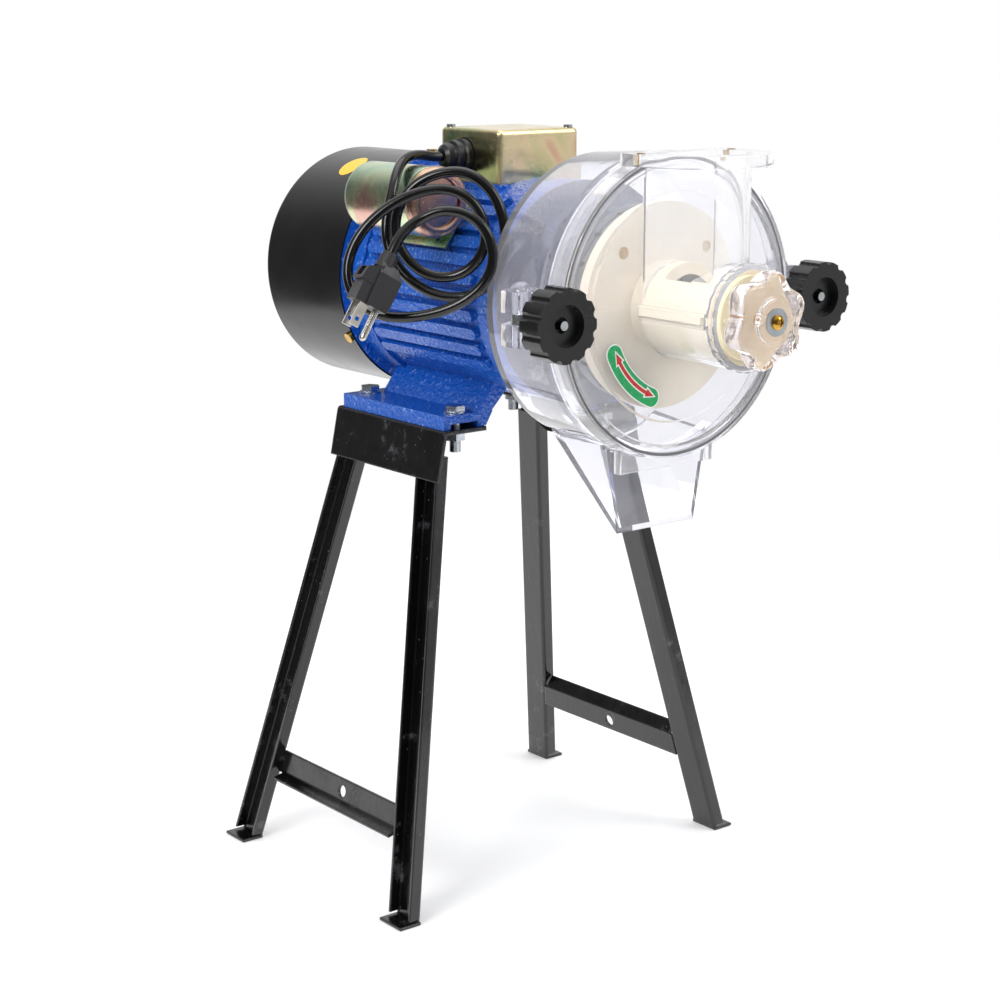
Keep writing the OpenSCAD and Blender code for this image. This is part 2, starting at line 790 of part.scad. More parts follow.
module drum() {
  color(clear_plastic) difference() {
    union() {
      on_shaft() rotate_extrude() polygon([
        [42, drum_back], [drum_back_r, drum_back], [drum_r, drum_part], [spigot_r, drum_part],
        [spigot_r, drum_lip], [42, drum_lip]
      ]);
      chute_solid(0);
      for (side = [-1, 1]) clamp_lugs(side);
    }
    on_shaft() rotate_extrude() polygon([
      [0, drum_back - drum_wall], [drum_back_r - drum_wall, drum_back - drum_wall],
      [drum_r - drum_wall, -112], [spigot_in, -114], [spigot_in, drum_lip - eps], [0, drum_lip - eps]
    ]);
    difference() {
      chute_solid(3);
      ring_y(drum_r + 1, spigot_in - 1, -125, -112);
    }
    round_shaft(4, 44, 0) translate([0, 0, drum_back - 8]) cylinder(r = 2.6, h = 12);
  }
}

module drum_screws() {
  color(bright_steel) round_shaft(4, 44, 0) {
    translate([0, 0, drum_back - drum_wall - 2.6]) cylinder(r = 4.5, h = 2.6);
    translate([0, 0, drum_back - drum_wall - 1]) cylinder(r = 2.4, h = 11);
  }
}

module cover_seal() {
  color(dark_rubber) ring_y(spigot_r - 0.1, spigot_r - 2, -136, drum_lip);
}

// Plan of the hopper neck and flange: straight sides with a half round front
module neck_plan(half, back) {
  translate([-half, neck_y]) square([2 * half, back - neck_y]);
  difference() {
    translate([0, neck_y]) circle(r = half);
    translate([-half, neck_y + 5]) square([2 * half, 2 * half]);
  }
}

// Fork on the cover's rim that the clamp bolt drops into from outside
module cover_ear(side) {
  on_side(side) translate([0, 0, shaft_z]) difference() {
    translate([spigot_r + 0.5, cover_front, -12]) cube([ear_out - spigot_r - 0.5, 12, 24]);
    translate([drum_r + 1.5, cover_front - eps, -clamp_bolt_r - 0.6]) cube([40, 20, 2 * clamp_bolt_r + 1.2]);
  }
}

// Apron below the rim that closes the top of the chute's mouth
module cover_apron() {
  half = 42;
  difference() {
    translate([-half, -128, 324]) cube([2 * half, 128 + drum_part - run_gap, 24]);
    translate([3 - half, -125, 323]) cube([2 * half - 6, 20, 30]);
    on_shaft() translate([0, 0, -130]) cylinder(r = spigot_r + 0.2, h = 10);
  }
}

module front_cover() {
  key_w = 5.4;
  color(clear_plastic) difference() {
    union() {
      on_shaft() rotate_extrude() polygon([
        [tube_r - 1, plate_back], [94, plate_back], [94, -136], [spigot_r + 0.2, -136],
        [spigot_r + 0.2, drum_part - run_gap], [drum_r, drum_part - run_gap],
        [drum_r, -126], [drum_r - 1.6, cover_front], [93, cover_front], [91.5, -136.5], [77, -136.5],
        [75.5, -138], [tube_r - 1, -138]
      ]);
      ring_y(tube_r, tube_r - tube_wall, tube_front, plate_back);
      for (x = [-1, 1]) on_side(x) translate([tube_r - 1.5, tube_front, shaft_z - 5])
        cube([4, -137 - tube_front, 10]);
      translate([0, 0, shaft_z]) linear_extrude(hopper_top - shaft_z - 2) neck_plan(neck_half, -137);
      translate([0, 0, hopper_top - hopper_t]) linear_extrude(hopper_t) neck_plan(hopper_half, hopper_back);
      for (side = [-1, 1]) cover_ear(side);
      cover_apron();
    }
    translate([0, 0, shaft_z]) linear_extrude(hopper_top) neck_plan(neck_half - tube_wall, -138);
    bar_y(0, shaft_z, tube_r - tube_wall, tube_front - eps, plate_back + eps);
    ring_y(spigot_r + 0.2, 94, -136, drum_part + 20);
    for (x = [-1, 1]) on_side(x) translate([20, tube_front - eps, shaft_z - key_w / 2])
      cube([14.6, 80, key_w]);
    at_inserts() translate([0, 0, -7]) cylinder(r = 3, h = 10);
  }
}

// Two threaded inserts for the hopper
module at_inserts() {
  for (x = [-1, 1]) translate([x * insert_x, insert_y, hopper_top]) children();
}

module hopper_inserts() {
  color(brass) at_inserts() difference() {
    translate([0, 0, -6.9]) cylinder(r = 2.95, h = 7.2);
    translate([0, 0, -6]) cylinder(r = 2, h = 8);
  }
}

// Clear scalloped ring on the end of the feed tube
module tube_collar() {
  color(clear_plastic) on_shaft() translate([0, 0, tube_front - 6]) difference() {
    cylinder(r = tube_r + 1.2, h = 6);
    translate([0, 0, -eps]) cylinder(r = tube_r - tube_wall, h = 8);
    for (a = [0 : 15 : 345]) rotate([0, 0, a]) translate([tube_r + 4.4, 0, -eps]) cylinder(r = 4, h = 8);
  }
}

// Nylon plate and sleeve in one: the sleeve slides in the feed tube on two keys
module disc_carrier() {
  color(cream_nylon) difference() {
    union() {
      ring_y(carrier_r, sleeve_bore, drum_part, fixed_front);
      ring_y(sleeve_r, sleeve_bore, sleeve_end + 4, drum_part + eps);
      bar_y(0, shaft_z, sleeve_r, sleeve_end, sleeve_end + 4 + eps);
      for (x = [-1, 1]) on_side(x) translate([sleeve_r - 2, sleeve_end + 6, shaft_z - 2.4])
        cube([5.2, 60, 4.8]);
    }
    across_x(-22, 22) polygon([[-186, 440], [-150, 440], [-144, 470], [-192, 470]]);
    bar_y(0, shaft_z, 2.5 + fit_gap, sleeve_end - eps, sleeve_end + 6);
    round_shaft(4, carrier_screw_r, 45) translate([0, 0, drum_part - eps]) cylinder(r = 2.1, h = 20);
    round_shaft(4, carrier_screw_r, 45) translate([0, 0, drum_part - eps]) cylinder(r = 4.2, h = eps + 3);
  }
}

module carrier_screws() {
  color(brass) round_shaft(4, carrier_screw_r, 45) {
    translate([0, 0, drum_part + 0.6]) cylinder(r = 4, h = 2.4);
    translate([0, 0, drum_part + 2]) cylinder(r = 2, h = 5.9);
  }
}

// Pale plate with raised dots that shows how far the knob has turned
module dial_plate() {
  color("#d8c79a") difference() {
    union() {
      bar_y(0, shaft_z, 27.5, sleeve_end - 5, sleeve_end);
      round_shaft(12, 23.5, 0) translate([0, 0, sleeve_end - 6]) cylinder(r = 1.6, h = 2);
    }
    bar_y(0, shaft_z, 2.5 + fit_gap, sleeve_end - 10, sleeve_end + eps);
  }
}

// Wavy outline of the fineness knob
module lobed_outline(r, wave) {
  polygon([for (a = [0 : 3 : 357]) (r + wave * cos(fine_lobes * (a + 20))) * [cos(a), sin(a)]]);
}

module fineness_knob() {
  color([0.93, 0.84, 0.8, 0.55]) on_shaft() difference() {
    union() {
      translate([0, 0, fine_front + 5]) linear_extrude(fine_back - fine_front - 7)
        lobed_outline(fine_knob_r, 2.6);
      translate([0, 0, fine_front + 2.5]) linear_extrude(3) lobed_outline(fine_knob_r - 3, 2.4);
      translate([0, 0, fine_front]) cylinder(r = 14, h = 6);
      translate([0, 0, fine_back - 3]) cylinder(r = 20, h = 3);
    }
    translate([0, 0, fine_front - eps]) cylinder(r = 2.5 + fit_gap, h = 40);
    translate([0, 0, fine_front + 1.5]) difference() {
      translate([0, 0, -4]) cylinder(r = 22, h = 6);
      translate([0, 0, -4]) cylinder(r = 14, h = 7);
    }
  }
}

module knob_washer() {
  color(bright_steel) ring_y(9, 2.5 + fit_gap, fine_front - 1.4, fine_front);
}

module knob_screw() {
  head = fine_front - 1.4;
  color(brass) on_shaft() difference() {
    union() {
      translate([0, 0, head - 3.6]) intersection() {
        translate([0, 0, 6]) sphere(r = 6);
        cylinder(r = 4.8, h = 3.6);
      }
      translate([0, 0, head - 0.5]) cylinder(r = 2.5, h = 32);
    }
    for (a = [0, 90]) rotate([0, 0, a]) translate([-2.6, -0.6, head - 4.6]) cube([5.2, 1.2, 2.6]);
  }
}

// Vertical pin with a domed head on which a swing bolt turns
module hinge_pin(side) {
  top = shaft_z + clamp_gap / 2 + lug_h;
  color(bright_steel) translate([side * clamp_x, clamp_pivot_y, 0]) {
    translate([0, 0, top - 2 * lug_h - clamp_gap]) cylinder(r = clamp_bolt_r, h = 2 * lug_h + clamp_gap);
    translate([0, 0, top]) intersection() {
      translate([0, 0, -2.2]) sphere(r = 8);
      cylinder(r = 8, h = 8);
    }
  }
}

module left_hinge_pin() { hinge_pin(-1); }
module right_hinge_pin() { hinge_pin(1); }

// Eye bolt that swings out of the cover's fork
module swing_bolt(side) {
  eye_h = clamp_gap - 0.6;
  color(bright_steel) translate([side * clamp_x, clamp_pivot_y, shaft_z]) difference() {
    union() {
      translate([0, 0, -eye_h / 2]) cylinder(r = 6.5, h = eye_h);
      translate([0, knob_front + 3 - clamp_pivot_y, 0]) rotate([-90, 0, 0])
        cylinder(r = clamp_bolt_r, h = clamp_pivot_y - knob_front - 7);
    }
    translate([0, 0, -eye_h]) cylinder(r = clamp_bolt_r + fit_gap, h = 2 * eye_h);
  }
}

module left_swing_bolt() { swing_bolt(-1); }
module right_swing_bolt() { swing_bolt(1); }

module clamp_washer(side) {
  color(bright_steel) translate([side * clamp_x, 0, shaft_z]) rotate([-90, 0, 0]) difference() {
    translate([0, 0, washer_front]) cylinder(r = 7.5, h = washer_back - washer_front);
    translate([0, 0, washer_front - eps]) cylinder(r = clamp_bolt_r + fit_gap, h = 10);
  }
}

module left_clamp_washer() { clamp_washer(-1); }
module right_clamp_washer() { clamp_washer(1); }

// Star grip with notches round its rim and a stepped recess in front
module clamp_knob(side) {
  h = knob_back - knob_front;
  color(black_paint) translate([side * clamp_x, knob_front, shaft_z]) rotate([-90, 0, 0]) difference() {
    union() {
      cylinder(r = clamp_knob_r, h = h);
      cylinder(r = 9, h = h + 1 - fit_gap);
    }
    for (i = [0 : clamp_grips - 1]) rotate([0, 0, i * 360 / clamp_grips + 12 - 4 * side])
      translate([clamp_knob_r + 1.2, 0, -eps]) cylinder(r = 3.2, h = h + 2 * eps);
    translate([0, 0, -eps]) cylinder(r = 13.5, h = 6 + eps);
    translate([0, 0, -eps]) cylinder(r = 5.2, h = 10 + eps);
    translate([0, 0, -eps]) cylinder(r = clamp_bolt_r + fit_gap, h = h + 4);
  }
}

module left_clamp_knob() { clamp_knob(-1); }
module right_clamp_knob() { clamp_knob(1); }

// Tube swept along a route: each ring is square to the route and keeps the last ring's turn
function ring_sides(route, i) =
  let (ahead = route[min(i + 1, len(route) - 1)], behind = route[max(i - 1, 0)])
  let (run = unit(ahead - behind), side = unit(cross(run, loop_out)))
  [side, cross(run, side)];

module swept_tube(route, d, sides) {
  points = [for (i = [0 : len(route) - 1]) let (axes = ring_sides(route, i)) for (k = [0 : sides - 1])
    route[i] + d / 2 * (cos(360 * k / sides) * axes[0] + sin(360 * k / sides) * axes[1])];
  last = (len(route) - 1) * sides;
  quads = [for (i = [0 : len(route) - 2]) for (k = [0 : sides - 1])
    let (a = i * sides + k, b = i * sides + (k + 1) % sides) [a, b, b + sides, a + sides]];
  walls = [for (q = quads) each [[q[0], q[2], q[1]], [q[0], q[3], q[2]]]];
  caps = [[for (k = [0 : sides - 1]) k], [for (k = [sides - 1 : -1 : 0]) last + k]];
  polyhedron(points, concat(walls, caps));
}

module power_cord() {
  color("#141416") swept_tube(cord_route, cord_d, cord_sides);
}

// Puts a shape at the end of the cord, with +Z along the plug towards its blades
module at_plug() {
  d = unit(plug_dir);
  translate(plug_neck) rotate([0, acos(d[2]), atan2(d[1], d[0])]) rotate([0, 0, plug_roll]) children();
}

// Outline drawn across and along the plug, made thick by half to each side
module plug_slab(half) {
  translate([0, half, 0]) rotate([90, 0, 0]) linear_extrude(2 * half) children();
}

// Moulded three-pin plug: neck, tapered body on the side of the round pin, face block and finger grip
module plug_body() {
  color("#17181a") at_plug() {
    cylinder(r1 = 5.6, r2 = 7, h = 11);
    intersection() {
      plug_slab(12)
        polygon([[-5, 8], [7, 8], [12, 15], [12, plug_face - 5], [11, plug_face], [-4, plug_face]]);
      across_x(-20, 20)
        polygon([[-5.5, 7], [5.5, 7], [9.5, 15], [9.5, plug_face + 1], [-9.5, plug_face + 1], [-9.5, 15]]);
    }
    plug_slab(8) polygon([[-12, 24], [-2, 22], [-2, plug_face], [-12, plug_face]]);
    difference() {
      plug_slab(8.4) polygon([[-3, 10], [-13, 15], [-14.5, 24], [-3, 25]]);
      plug_slab(4) polygon([[-7, 14], [-20, 17], [-20, 22], [-7, 22]]);
    }
  }
}

module plug_blades() {
  color(bright_steel) at_plug() {
    for (y = [-6.35, 6.35]) difference() {
      translate([-4.5 - 3.2, y - 0.75, plug_face]) cube([6.4, 1.5, 16]);
      translate([-4.5, y - 3, plug_face + 11]) rotate([-90, 0, 0]) cylinder(r = 1.6, h = 6);
    }
    translate([7.4, 0, plug_face]) cylinder(r = 2.4, h = 19);
    translate([7.4, 0, plug_face + 19]) sphere(r = 2.4);
  }
}

left_bracket();
right_bracket();
left_front_leg();
left_rear_leg();
right_front_leg();
right_rear_leg();
left_brace();
right_brace();
foot_bolts();
foot_nuts();
motor_frame();
front_end_shield();
rear_end_shield();
end_shield_bolts();
stator_core();
stator_windings();
front_bearing();
rear_bearing();
fan_cover();
fan_cover_screws();
terminal_box();
terminal_box_screws();
terminal_block();
cable_gland();
capacitor_can();
capacitor_cap();
capacitor();
capacitor_saddle();
motor_shaft();
rotor_core();
cooling_fan();
disc_hub();
rotating_disc();
auger();
drum();
drum_screws();
cover_seal();
front_cover();
hopper_inserts();
tube_collar();
disc_carrier();
fixed_disc();
carrier_screws();
dial_plate();
fineness_knob();
knob_washer();
knob_screw();
left_hinge_pin();
right_hinge_pin();
left_swing_bolt();
right_swing_bolt();
left_clamp_washer();
right_clamp_washer();
left_clamp_knob();
right_clamp_knob();
power_cord();
plug_body();
plug_blades();
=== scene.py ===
import bmesh
import bpy
import numpy as np
from bpy.props import FloatProperty, FloatVectorProperty, IntProperty, PointerProperty
from bpy.types import Operator, Panel, PropertyGroup
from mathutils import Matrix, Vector


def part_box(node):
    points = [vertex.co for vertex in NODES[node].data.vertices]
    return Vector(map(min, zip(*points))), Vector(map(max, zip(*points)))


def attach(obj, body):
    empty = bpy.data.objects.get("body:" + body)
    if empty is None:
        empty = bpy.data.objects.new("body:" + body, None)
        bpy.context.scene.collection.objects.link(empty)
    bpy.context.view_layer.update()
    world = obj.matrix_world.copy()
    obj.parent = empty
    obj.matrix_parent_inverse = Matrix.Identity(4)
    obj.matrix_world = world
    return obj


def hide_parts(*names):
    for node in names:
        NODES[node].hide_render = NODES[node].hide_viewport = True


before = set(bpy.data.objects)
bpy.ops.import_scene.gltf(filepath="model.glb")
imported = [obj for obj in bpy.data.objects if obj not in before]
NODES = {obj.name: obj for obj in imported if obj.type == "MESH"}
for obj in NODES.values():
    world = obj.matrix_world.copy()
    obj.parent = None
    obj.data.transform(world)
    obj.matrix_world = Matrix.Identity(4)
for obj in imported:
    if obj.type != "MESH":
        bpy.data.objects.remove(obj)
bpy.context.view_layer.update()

bl_info = {
    "name": "Wet grinder",
    "version": (1, 0, 0),
    "blender": (4, 5, 0),
    "location": "3D View > Sidebar > Grinder",
    "description": "Dresses the frame of a table wet grinder with its finishes, cord, label and stage",
    "category": "Object",
}

MM = 0.001
SHAFT_Z = 0.433  # height of the shaft over the floor, in metres
SHARP_ANGLE = np.radians(40)  # faces that meet at more than this keep a sharp edge


def linear(code):
    """An sRGB hex colour as linear red, green, blue and full alpha."""
    value = np.array([int(code[i:i + 2], 16) for i in (1, 3, 5)]) / 255
    low, high = value / 12.92, ((value + 0.055) / 1.055) ** 2.4
    return (*np.where(value <= 0.04045, low, high).tolist(), 1.0)


def unit(v):
    """A vector, or each row of an array of vectors, at length one."""
    return v / np.linalg.norm(v, axis=-1, keepdims=True)


# Sizes and colours that a user would change


class CordSettings(PropertyGroup):
    """Sizes of the power cord."""
    diameter: FloatProperty(
        name="Diameter", description="Outside diameter of the cord", default=7 * MM, unit="LENGTH")
    sides: IntProperty(
        name="Sides", description="Faces round the cord", default=20, min=8, max=48)
    rings: IntProperty(
        name="Rings a loop", description="Rings of faces in one loop of the cord", default=72, min=24,
        max=144)


class LabelSettings(PropertyGroup):
    """Sizes and colours of the turning label on the cover."""
    radius: FloatProperty(
        name="Radius", description="Distance of the label's middle line from the shaft", default=62.3 * MM,
        unit="LENGTH")
    half_width: FloatProperty(
        name="Half width", description="Half the width over the label's border", default=6.9 * MM,
        unit="LENGTH")
    field: FloatVectorProperty(
        name="Field", description="Colour of the label's field", default=linear("#12a45c"), size=4,
        subtype="COLOR")
    arrow: FloatVectorProperty(
        name="Arrow", description="Colour of the double arrow", default=linear("#c8281c"), size=4,
        subtype="COLOR")


class KnobSettings(PropertyGroup):
    """Shape of the fineness knob."""
    lobes: IntProperty(
        name="Lobes", description="Finger lobes round the knob", default=6, min=3, max=12)
    wave: FloatProperty(
        name="Wave", description="Height of the lobes over the mean radius", default=2.6 * MM, unit="LENGTH")
    crest: FloatProperty(
        name="Crest", description="Angle of the first lobe in degrees", default=20.0)
    columns: IntProperty(
        name="Columns", description="Faces round the knob", default=144, min=48, max=288)


class FinishSettings(PropertyGroup):
    """Main colours of the finishes."""
    cast: FloatVectorProperty(
        name="Cast enamel", description="Blue enamel of the motor", default=linear("#0a54b6"), size=4,
        subtype="COLOR")
    stand: FloatVectorProperty(
        name="Stand enamel", description="Black enamel of the stand", default=linear("#08080a"), size=4,
        subtype="COLOR")
    nylon: FloatVectorProperty(
        name="Nylon", description="Cream nylon of the disc carrier", default=linear("#e3d8c2"), size=4,
        subtype="COLOR")
    drum: FloatVectorProperty(
        name="Drum", description="Tint of the clear drum", default=linear("#f7f7fd"), size=4, subtype="COLOR")
    cover: FloatVectorProperty(
        name="Cover", description="Tint of the clear front cover", default=linear("#fbfbfc"), size=4,
        subtype="COLOR")
    knob: FloatVectorProperty(
        name="Fineness knob", description="Tint of the fineness knob", default=linear("#f1e9e7"), size=4,
        subtype="COLOR")


class StageSettings(PropertyGroup):
    """Camera, floor and light."""
    lens: FloatProperty(
        name="Lens", description="Focal length of the camera in millimetres", default=75.99, unit="CAMERA")
    floor: FloatVectorProperty(
        name="Floor", description="Colour of the floor", default=linear("#f2f2f2"), size=4, subtype="COLOR")
    sky: FloatProperty(
        name="Sky", description="Strength of the even light from all round", default=0.73)
    room: FloatProperty(
        name="Room", description="How bright the dark room round the machine looks in gloss", default=0.14)
    key: FloatProperty(
        name="Key light", description="Power of the large lamp", default=32.0, unit="POWER")


# Meshes


def grid_faces(rows, columns, wrap_rows=False, wrap_columns=False, first=0):
    """Quads over a grid of points stored row by row; a wrapped direction joins its end to its start."""
    i, j = np.meshgrid(
        np.arange(rows if wrap_rows else rows - 1), np.arange(columns if wrap_columns else columns - 1),
        indexing="ij")
    down, right = (i + 1) % rows, (j + 1) % columns
    corners = [i * columns + j, i * columns + right, down * columns + right, down * columns + j]
    return first + np.stack(corners, axis=-1).reshape(-1, 4)


def tube(path, radius, sides, reference):
    """A circle carried along a path, with flat ends.

    Each ring lies across the path and starts square to a fixed direction."""
    run = unit(np.gradient(path, axis=0))
    side = unit(np.cross(run, reference))
    other = np.cross(run, side)
    turn = np.linspace(0, 2 * np.pi, sides, endpoint=False)
    rings = path[:, None] + radius * (
        np.cos(turn)[None, :, None] * side[:, None] + np.sin(turn)[None, :, None] * other[:, None])
    count = len(path) * sides
    faces = grid_faces(len(path), sides, wrap_columns=True).tolist()
    caps = [list(range(sides)), list(range(count - sides, count))]
    return rings.reshape(-1, 3), faces + caps


def slab(front, back):
    """Two grids of points of one size, closed to a thin solid by a strip round their edges."""
    rows, columns = front.shape[:2]
    count = rows * columns
    index = np.arange(count).reshape(rows, columns)
    edge = np.concatenate([index[0, :-1], index[:-1, -1], index[-1, :0:-1], index[:0:-1, 0]])
    rim = np.stack([edge, np.roll(edge, -1), np.roll(edge, -1) + count, edge + count], axis=-1)
    faces = np.concatenate([grid_faces(rows, columns), grid_faces(rows, columns, first=count), rim])
    return np.concatenate([front.reshape(-1, 3), back.reshape(-1, 3)]), faces.tolist()


def make_piece(name, points, faces, body, materials, kinds=None, smooth=True):
    """Puts arrays into a new mesh object at the origin, faces outwards, riding on a body."""
    mesh = bpy.data.meshes.new(name)
    mesh.from_pydata(np.asarray(points).tolist(), [], faces)
    for material in materials:
        mesh.materials.append(material)
    if kinds is not None:
        mesh.polygons.foreach_set("material_index", np.asarray(kinds, dtype=np.int32))
    work = bmesh.new()
    work.from_mesh(mesh)
    bmesh.ops.recalc_face_normals(work, faces=work.faces)
    work.to_mesh(mesh)
    work.free()
    if smooth:
        mesh.shade_smooth()
        mesh.set_sharp_from_angle(angle=SHARP_ANGLE)
    piece = bpy.data.objects.new(name, mesh)
    bpy.context.scene.collection.objects.link(piece)
    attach(piece, body)
    return piece


# Materials


WHITE = linear("#ffffff")
NOISE_RANGE = {"From Min": 0.3, "From Max": 0.7}  # what a noise mostly keeps to


def add(tree, kind, inputs=None, stops=(), **settings):
    """Adds one shader node: settings on the node, values or links on its inputs, colours on its ramp."""
    node = tree.nodes.new("ShaderNode" + kind)
    for key, value in settings.items():
        setattr(node, key, value)
    for key, value in (inputs or {}).items():
        if isinstance(value, bpy.types.NodeSocket):
            tree.links.new(value, node.inputs[key])
        else:
            node.inputs[key].default_value = value
    for place, _ in stops[2:]:
        node.color_ramp.elements.new(place)
    for i, (place, colour) in enumerate(stops):
        node.color_ramp.elements[i].position = place
        node.color_ramp.elements[i].color = colour
    return node


def begin(name):
    """A new material's tree without nodes, and its Object coordinates."""
    made = bpy.data.materials.new(name)
    made.use_nodes = True
    made.node_tree.nodes.clear()
    return made, made.node_tree, add(made.node_tree, "TexCoord").outputs["Object"]


def surface(tree, inputs):
    """Ends a material with its Principled shader and the output; returns both."""
    shader = add(tree, "BsdfPrincipled", inputs)
    return shader, add(tree, "OutputMaterial", {"Surface": shader.outputs[0]})


def stove_enamel():
    """Black stove enamel on folded sheet: deep gloss in runs 5 mm wide, dust nibs and pale scuffs.

    The edges of the sheet are rounded, so they catch the light."""
    made, tree, place = begin("stove enamel, black")
    black = tuple(bpy.context.scene.grinder_finish.stand)
    long = add(tree, "Mapping", {"Vector": place, "Scale": (1.0, 1.0, 0.25)})
    runs = add(tree, "TexNoise", {"Vector": long.outputs[0], "Scale": 1 / (5 * MM), "Detail": 3})
    wear = add(tree, "TexNoise", {"Vector": place, "Scale": 1 / (26 * MM), "Detail": 5, "Roughness": 0.7})
    nibs = add(tree, "TexVoronoi", {"Vector": place, "Scale": 1 / (8 * MM)})
    dust = add(tree, "ValToRGB", {"Fac": nibs.outputs["Distance"]}, [
        (0.03, linear("#55585e")), (0.09, black)])
    scuff = add(tree, "MapRange", {
        "Value": wear.outputs[0], "From Min": 0.6, "From Max": 0.74, "To Max": 0.3})
    bump = add(tree, "Bump", {"Height": runs.outputs[0], "Distance": 0.25 * MM, "Strength": 0.6})
    surface(tree, {
        "Base Color": add(tree, "MixRGB", {
            "Fac": scuff.outputs[0], "Color1": dust.outputs[0], "Color2": linear("#8d9096")}).outputs[0],
        "Roughness": add(tree, "MapRange", {
            "Value": wear.outputs[0], "From Min": 0.35, "From Max": 0.68, "To Min": 0.1,
            "To Max": 0.3}).outputs[0],
        "Normal": add(tree, "Bevel", {"Radius": 1.8 * MM, "Normal": bump.outputs[0]}).outputs[0],
        "Specular IOR Level": 0.62})
    return made


def sheet_enamel():
    """Black satin enamel on drawn sheet: a broad soft shine, hardly any texture."""
    made, tree, place = begin("satin enamel, black")
    cloud = add(tree, "TexNoise", {"Vector": place, "Scale": 1 / (30 * MM), "Detail": 3})
    peel = add(tree, "TexNoise", {"Vector": place, "Scale": 1 / (3 * MM)})
    surface(tree, {
        "Base Color": linear("#0a0a0d"),
        "Roughness": add(tree, "MapRange", {
            "Value": cloud.outputs[0], **NOISE_RANGE, "To Min": 0.18, "To Max": 0.26}).outputs[0],
        "Normal": add(tree, "Bump", {"Height": peel.outputs[0], "Distance": 0.03 * MM}).outputs[0],
        "Specular IOR Level": 0.45})
    return made


def cast_enamel(name, face=None):
    """Blue enamel over sand cast iron: glossy lumps, with painted shade in their hollows and painted glints
    on their tops; nearer the front than face it is a flat dark blue-grey, which is painted shade.

    The real grain is about 1.5 mm; it is drawn at 3 mm so that it shows in the render."""
    made, tree, place = begin(name)
    blue = tuple(bpy.context.scene.grinder_finish.cast)
    # dark: painted shade in the hollows of the lumps, where the same noise sinks the bump
    dark = tuple(0.6 * c for c in blue[:3]) + (1.0,)
    # pale: painted glints on the tops of the lumps
    pale = linear("#86a8e6")
    lumps = add(tree, "TexNoise", {"Vector": place, "Scale": 1 / (3 * MM), "Detail": 2, "Roughness": 0.5})
    colour = add(tree, "ValToRGB", {"Fac": lumps.outputs[0]}, [
        (0.2, dark), (0.36, blue), (0.6, blue), (0.8, pale)]).outputs[0]
    # Nearer the front than face the colour is a flat dark blue-grey: painted shade where the drum shades the
    # shield.
    if face is not None:
        along = add(tree, "SeparateXYZ", {0: place}).outputs["Y"]
        painted_shade_front = add(tree, "MapRange", {"Value": along, "From Min": face, "From Max": face + 0.5 * MM})
        colour = add(tree, "ValToRGB", {"Fac": painted_shade_front.outputs[0]}, [
            (0.4, linear("#3d4562")), (0.6, blue)]).outputs[0]
    bump = add(tree, "Bump", {"Height": lumps.outputs[0], "Distance": 1.8 * MM, "Strength": 0.9}).outputs[0]
    surface(tree, {
        "Base Color": colour,
        "Roughness": add(tree, "MapRange", {
            "Value": lumps.outputs[0], **NOISE_RANGE, "To Min": 0.3, "To Max": 0.5}).outputs[0],
        "Normal": bump, "Specular IOR Level": 0.2,
        "Coat Weight": 0.7, "Coat IOR": 1.5, "Coat Roughness": 0.07, "Coat Normal": bump})
    return made


def yellow_zinc(name, tones):
    """Yellow passivated zinc plate: bright metal under a film that drifts from green to rose and cream."""
    made, tree, place = begin(name)
    drift = add(tree, "TexNoise", {
        "Vector": place, "Scale": 1 / (42 * MM), "Detail": 2, "Roughness": 0.5, "Distortion": 0.6})
    grain = add(tree, "TexNoise", {"Vector": place, "Scale": 1 / (5 * MM), "Detail": 3})
    bump = add(tree, "Bump", {"Height": grain.outputs[0], "Distance": 0.025 * MM})
    surface(tree, {
        "Base Color": add(tree, "ValToRGB", {"Fac": drift.outputs[0]}, [
            (0.3 + 0.13 * i, linear(tone)) for i, tone in enumerate(tones)]).outputs[0],
        "Roughness": add(tree, "MapRange", {
            "Value": grain.outputs[0], **NOISE_RANGE, "To Min": 0.16, "To Max": 0.28}).outputs[0],
        "Normal": add(tree, "Bevel", {"Radius": 3 * MM, "Normal": bump.outputs[0]}).outputs[0],
        "Metallic": 1.0})
    return made


def see_through(name, tint, clear, roughness, ior, shade, wave, depth):
    """Clear moulded plastic: glassy, with slow flow waves; the lamps' light passes through it."""
    made, tree, place = begin(name)
    flow = add(tree, "TexNoise", {"Vector": place, "Scale": 1 / wave, "Distortion": 0.6})
    shader, output = surface(tree, {
        "Base Color": tint, "Roughness": roughness, "IOR": ior, "Transmission Weight": clear,
        "Normal": add(tree, "Bump", {
            "Height": flow.outputs[0], "Distance": depth, "Strength": 0.5}).outputs[0]})
    both = add(tree, "MixShader", {
        0: add(tree, "LightPath").outputs["Is Shadow Ray"], 1: shader.outputs[0],
        2: add(tree, "BsdfTransparent", {"Color": shade}).outputs[0]})
    tree.links.new(both.outputs[0], output.inputs["Surface"])
    return made


def clear_polycarbonate(name, tint, clear):
    """Injection moulded polycarbonate: clear with a faint haze, a trace of violet where it is thick."""
    return see_through(name, tint, clear, 0.012, 1.44, linear("#fbfbfd"), 18 * MM, 0.05 * MM)


def tinted_acrylic():
    """Moulded acrylic with a warm pink tint: watery, with soft waves."""
    tint = tuple(bpy.context.scene.grinder_finish.knob)
    return see_through(
        "moulded acrylic, rose tint", tint, 0.93, 0.03, 1.42, linear("#ece8e6"), 9 * MM, 0.25 * MM)


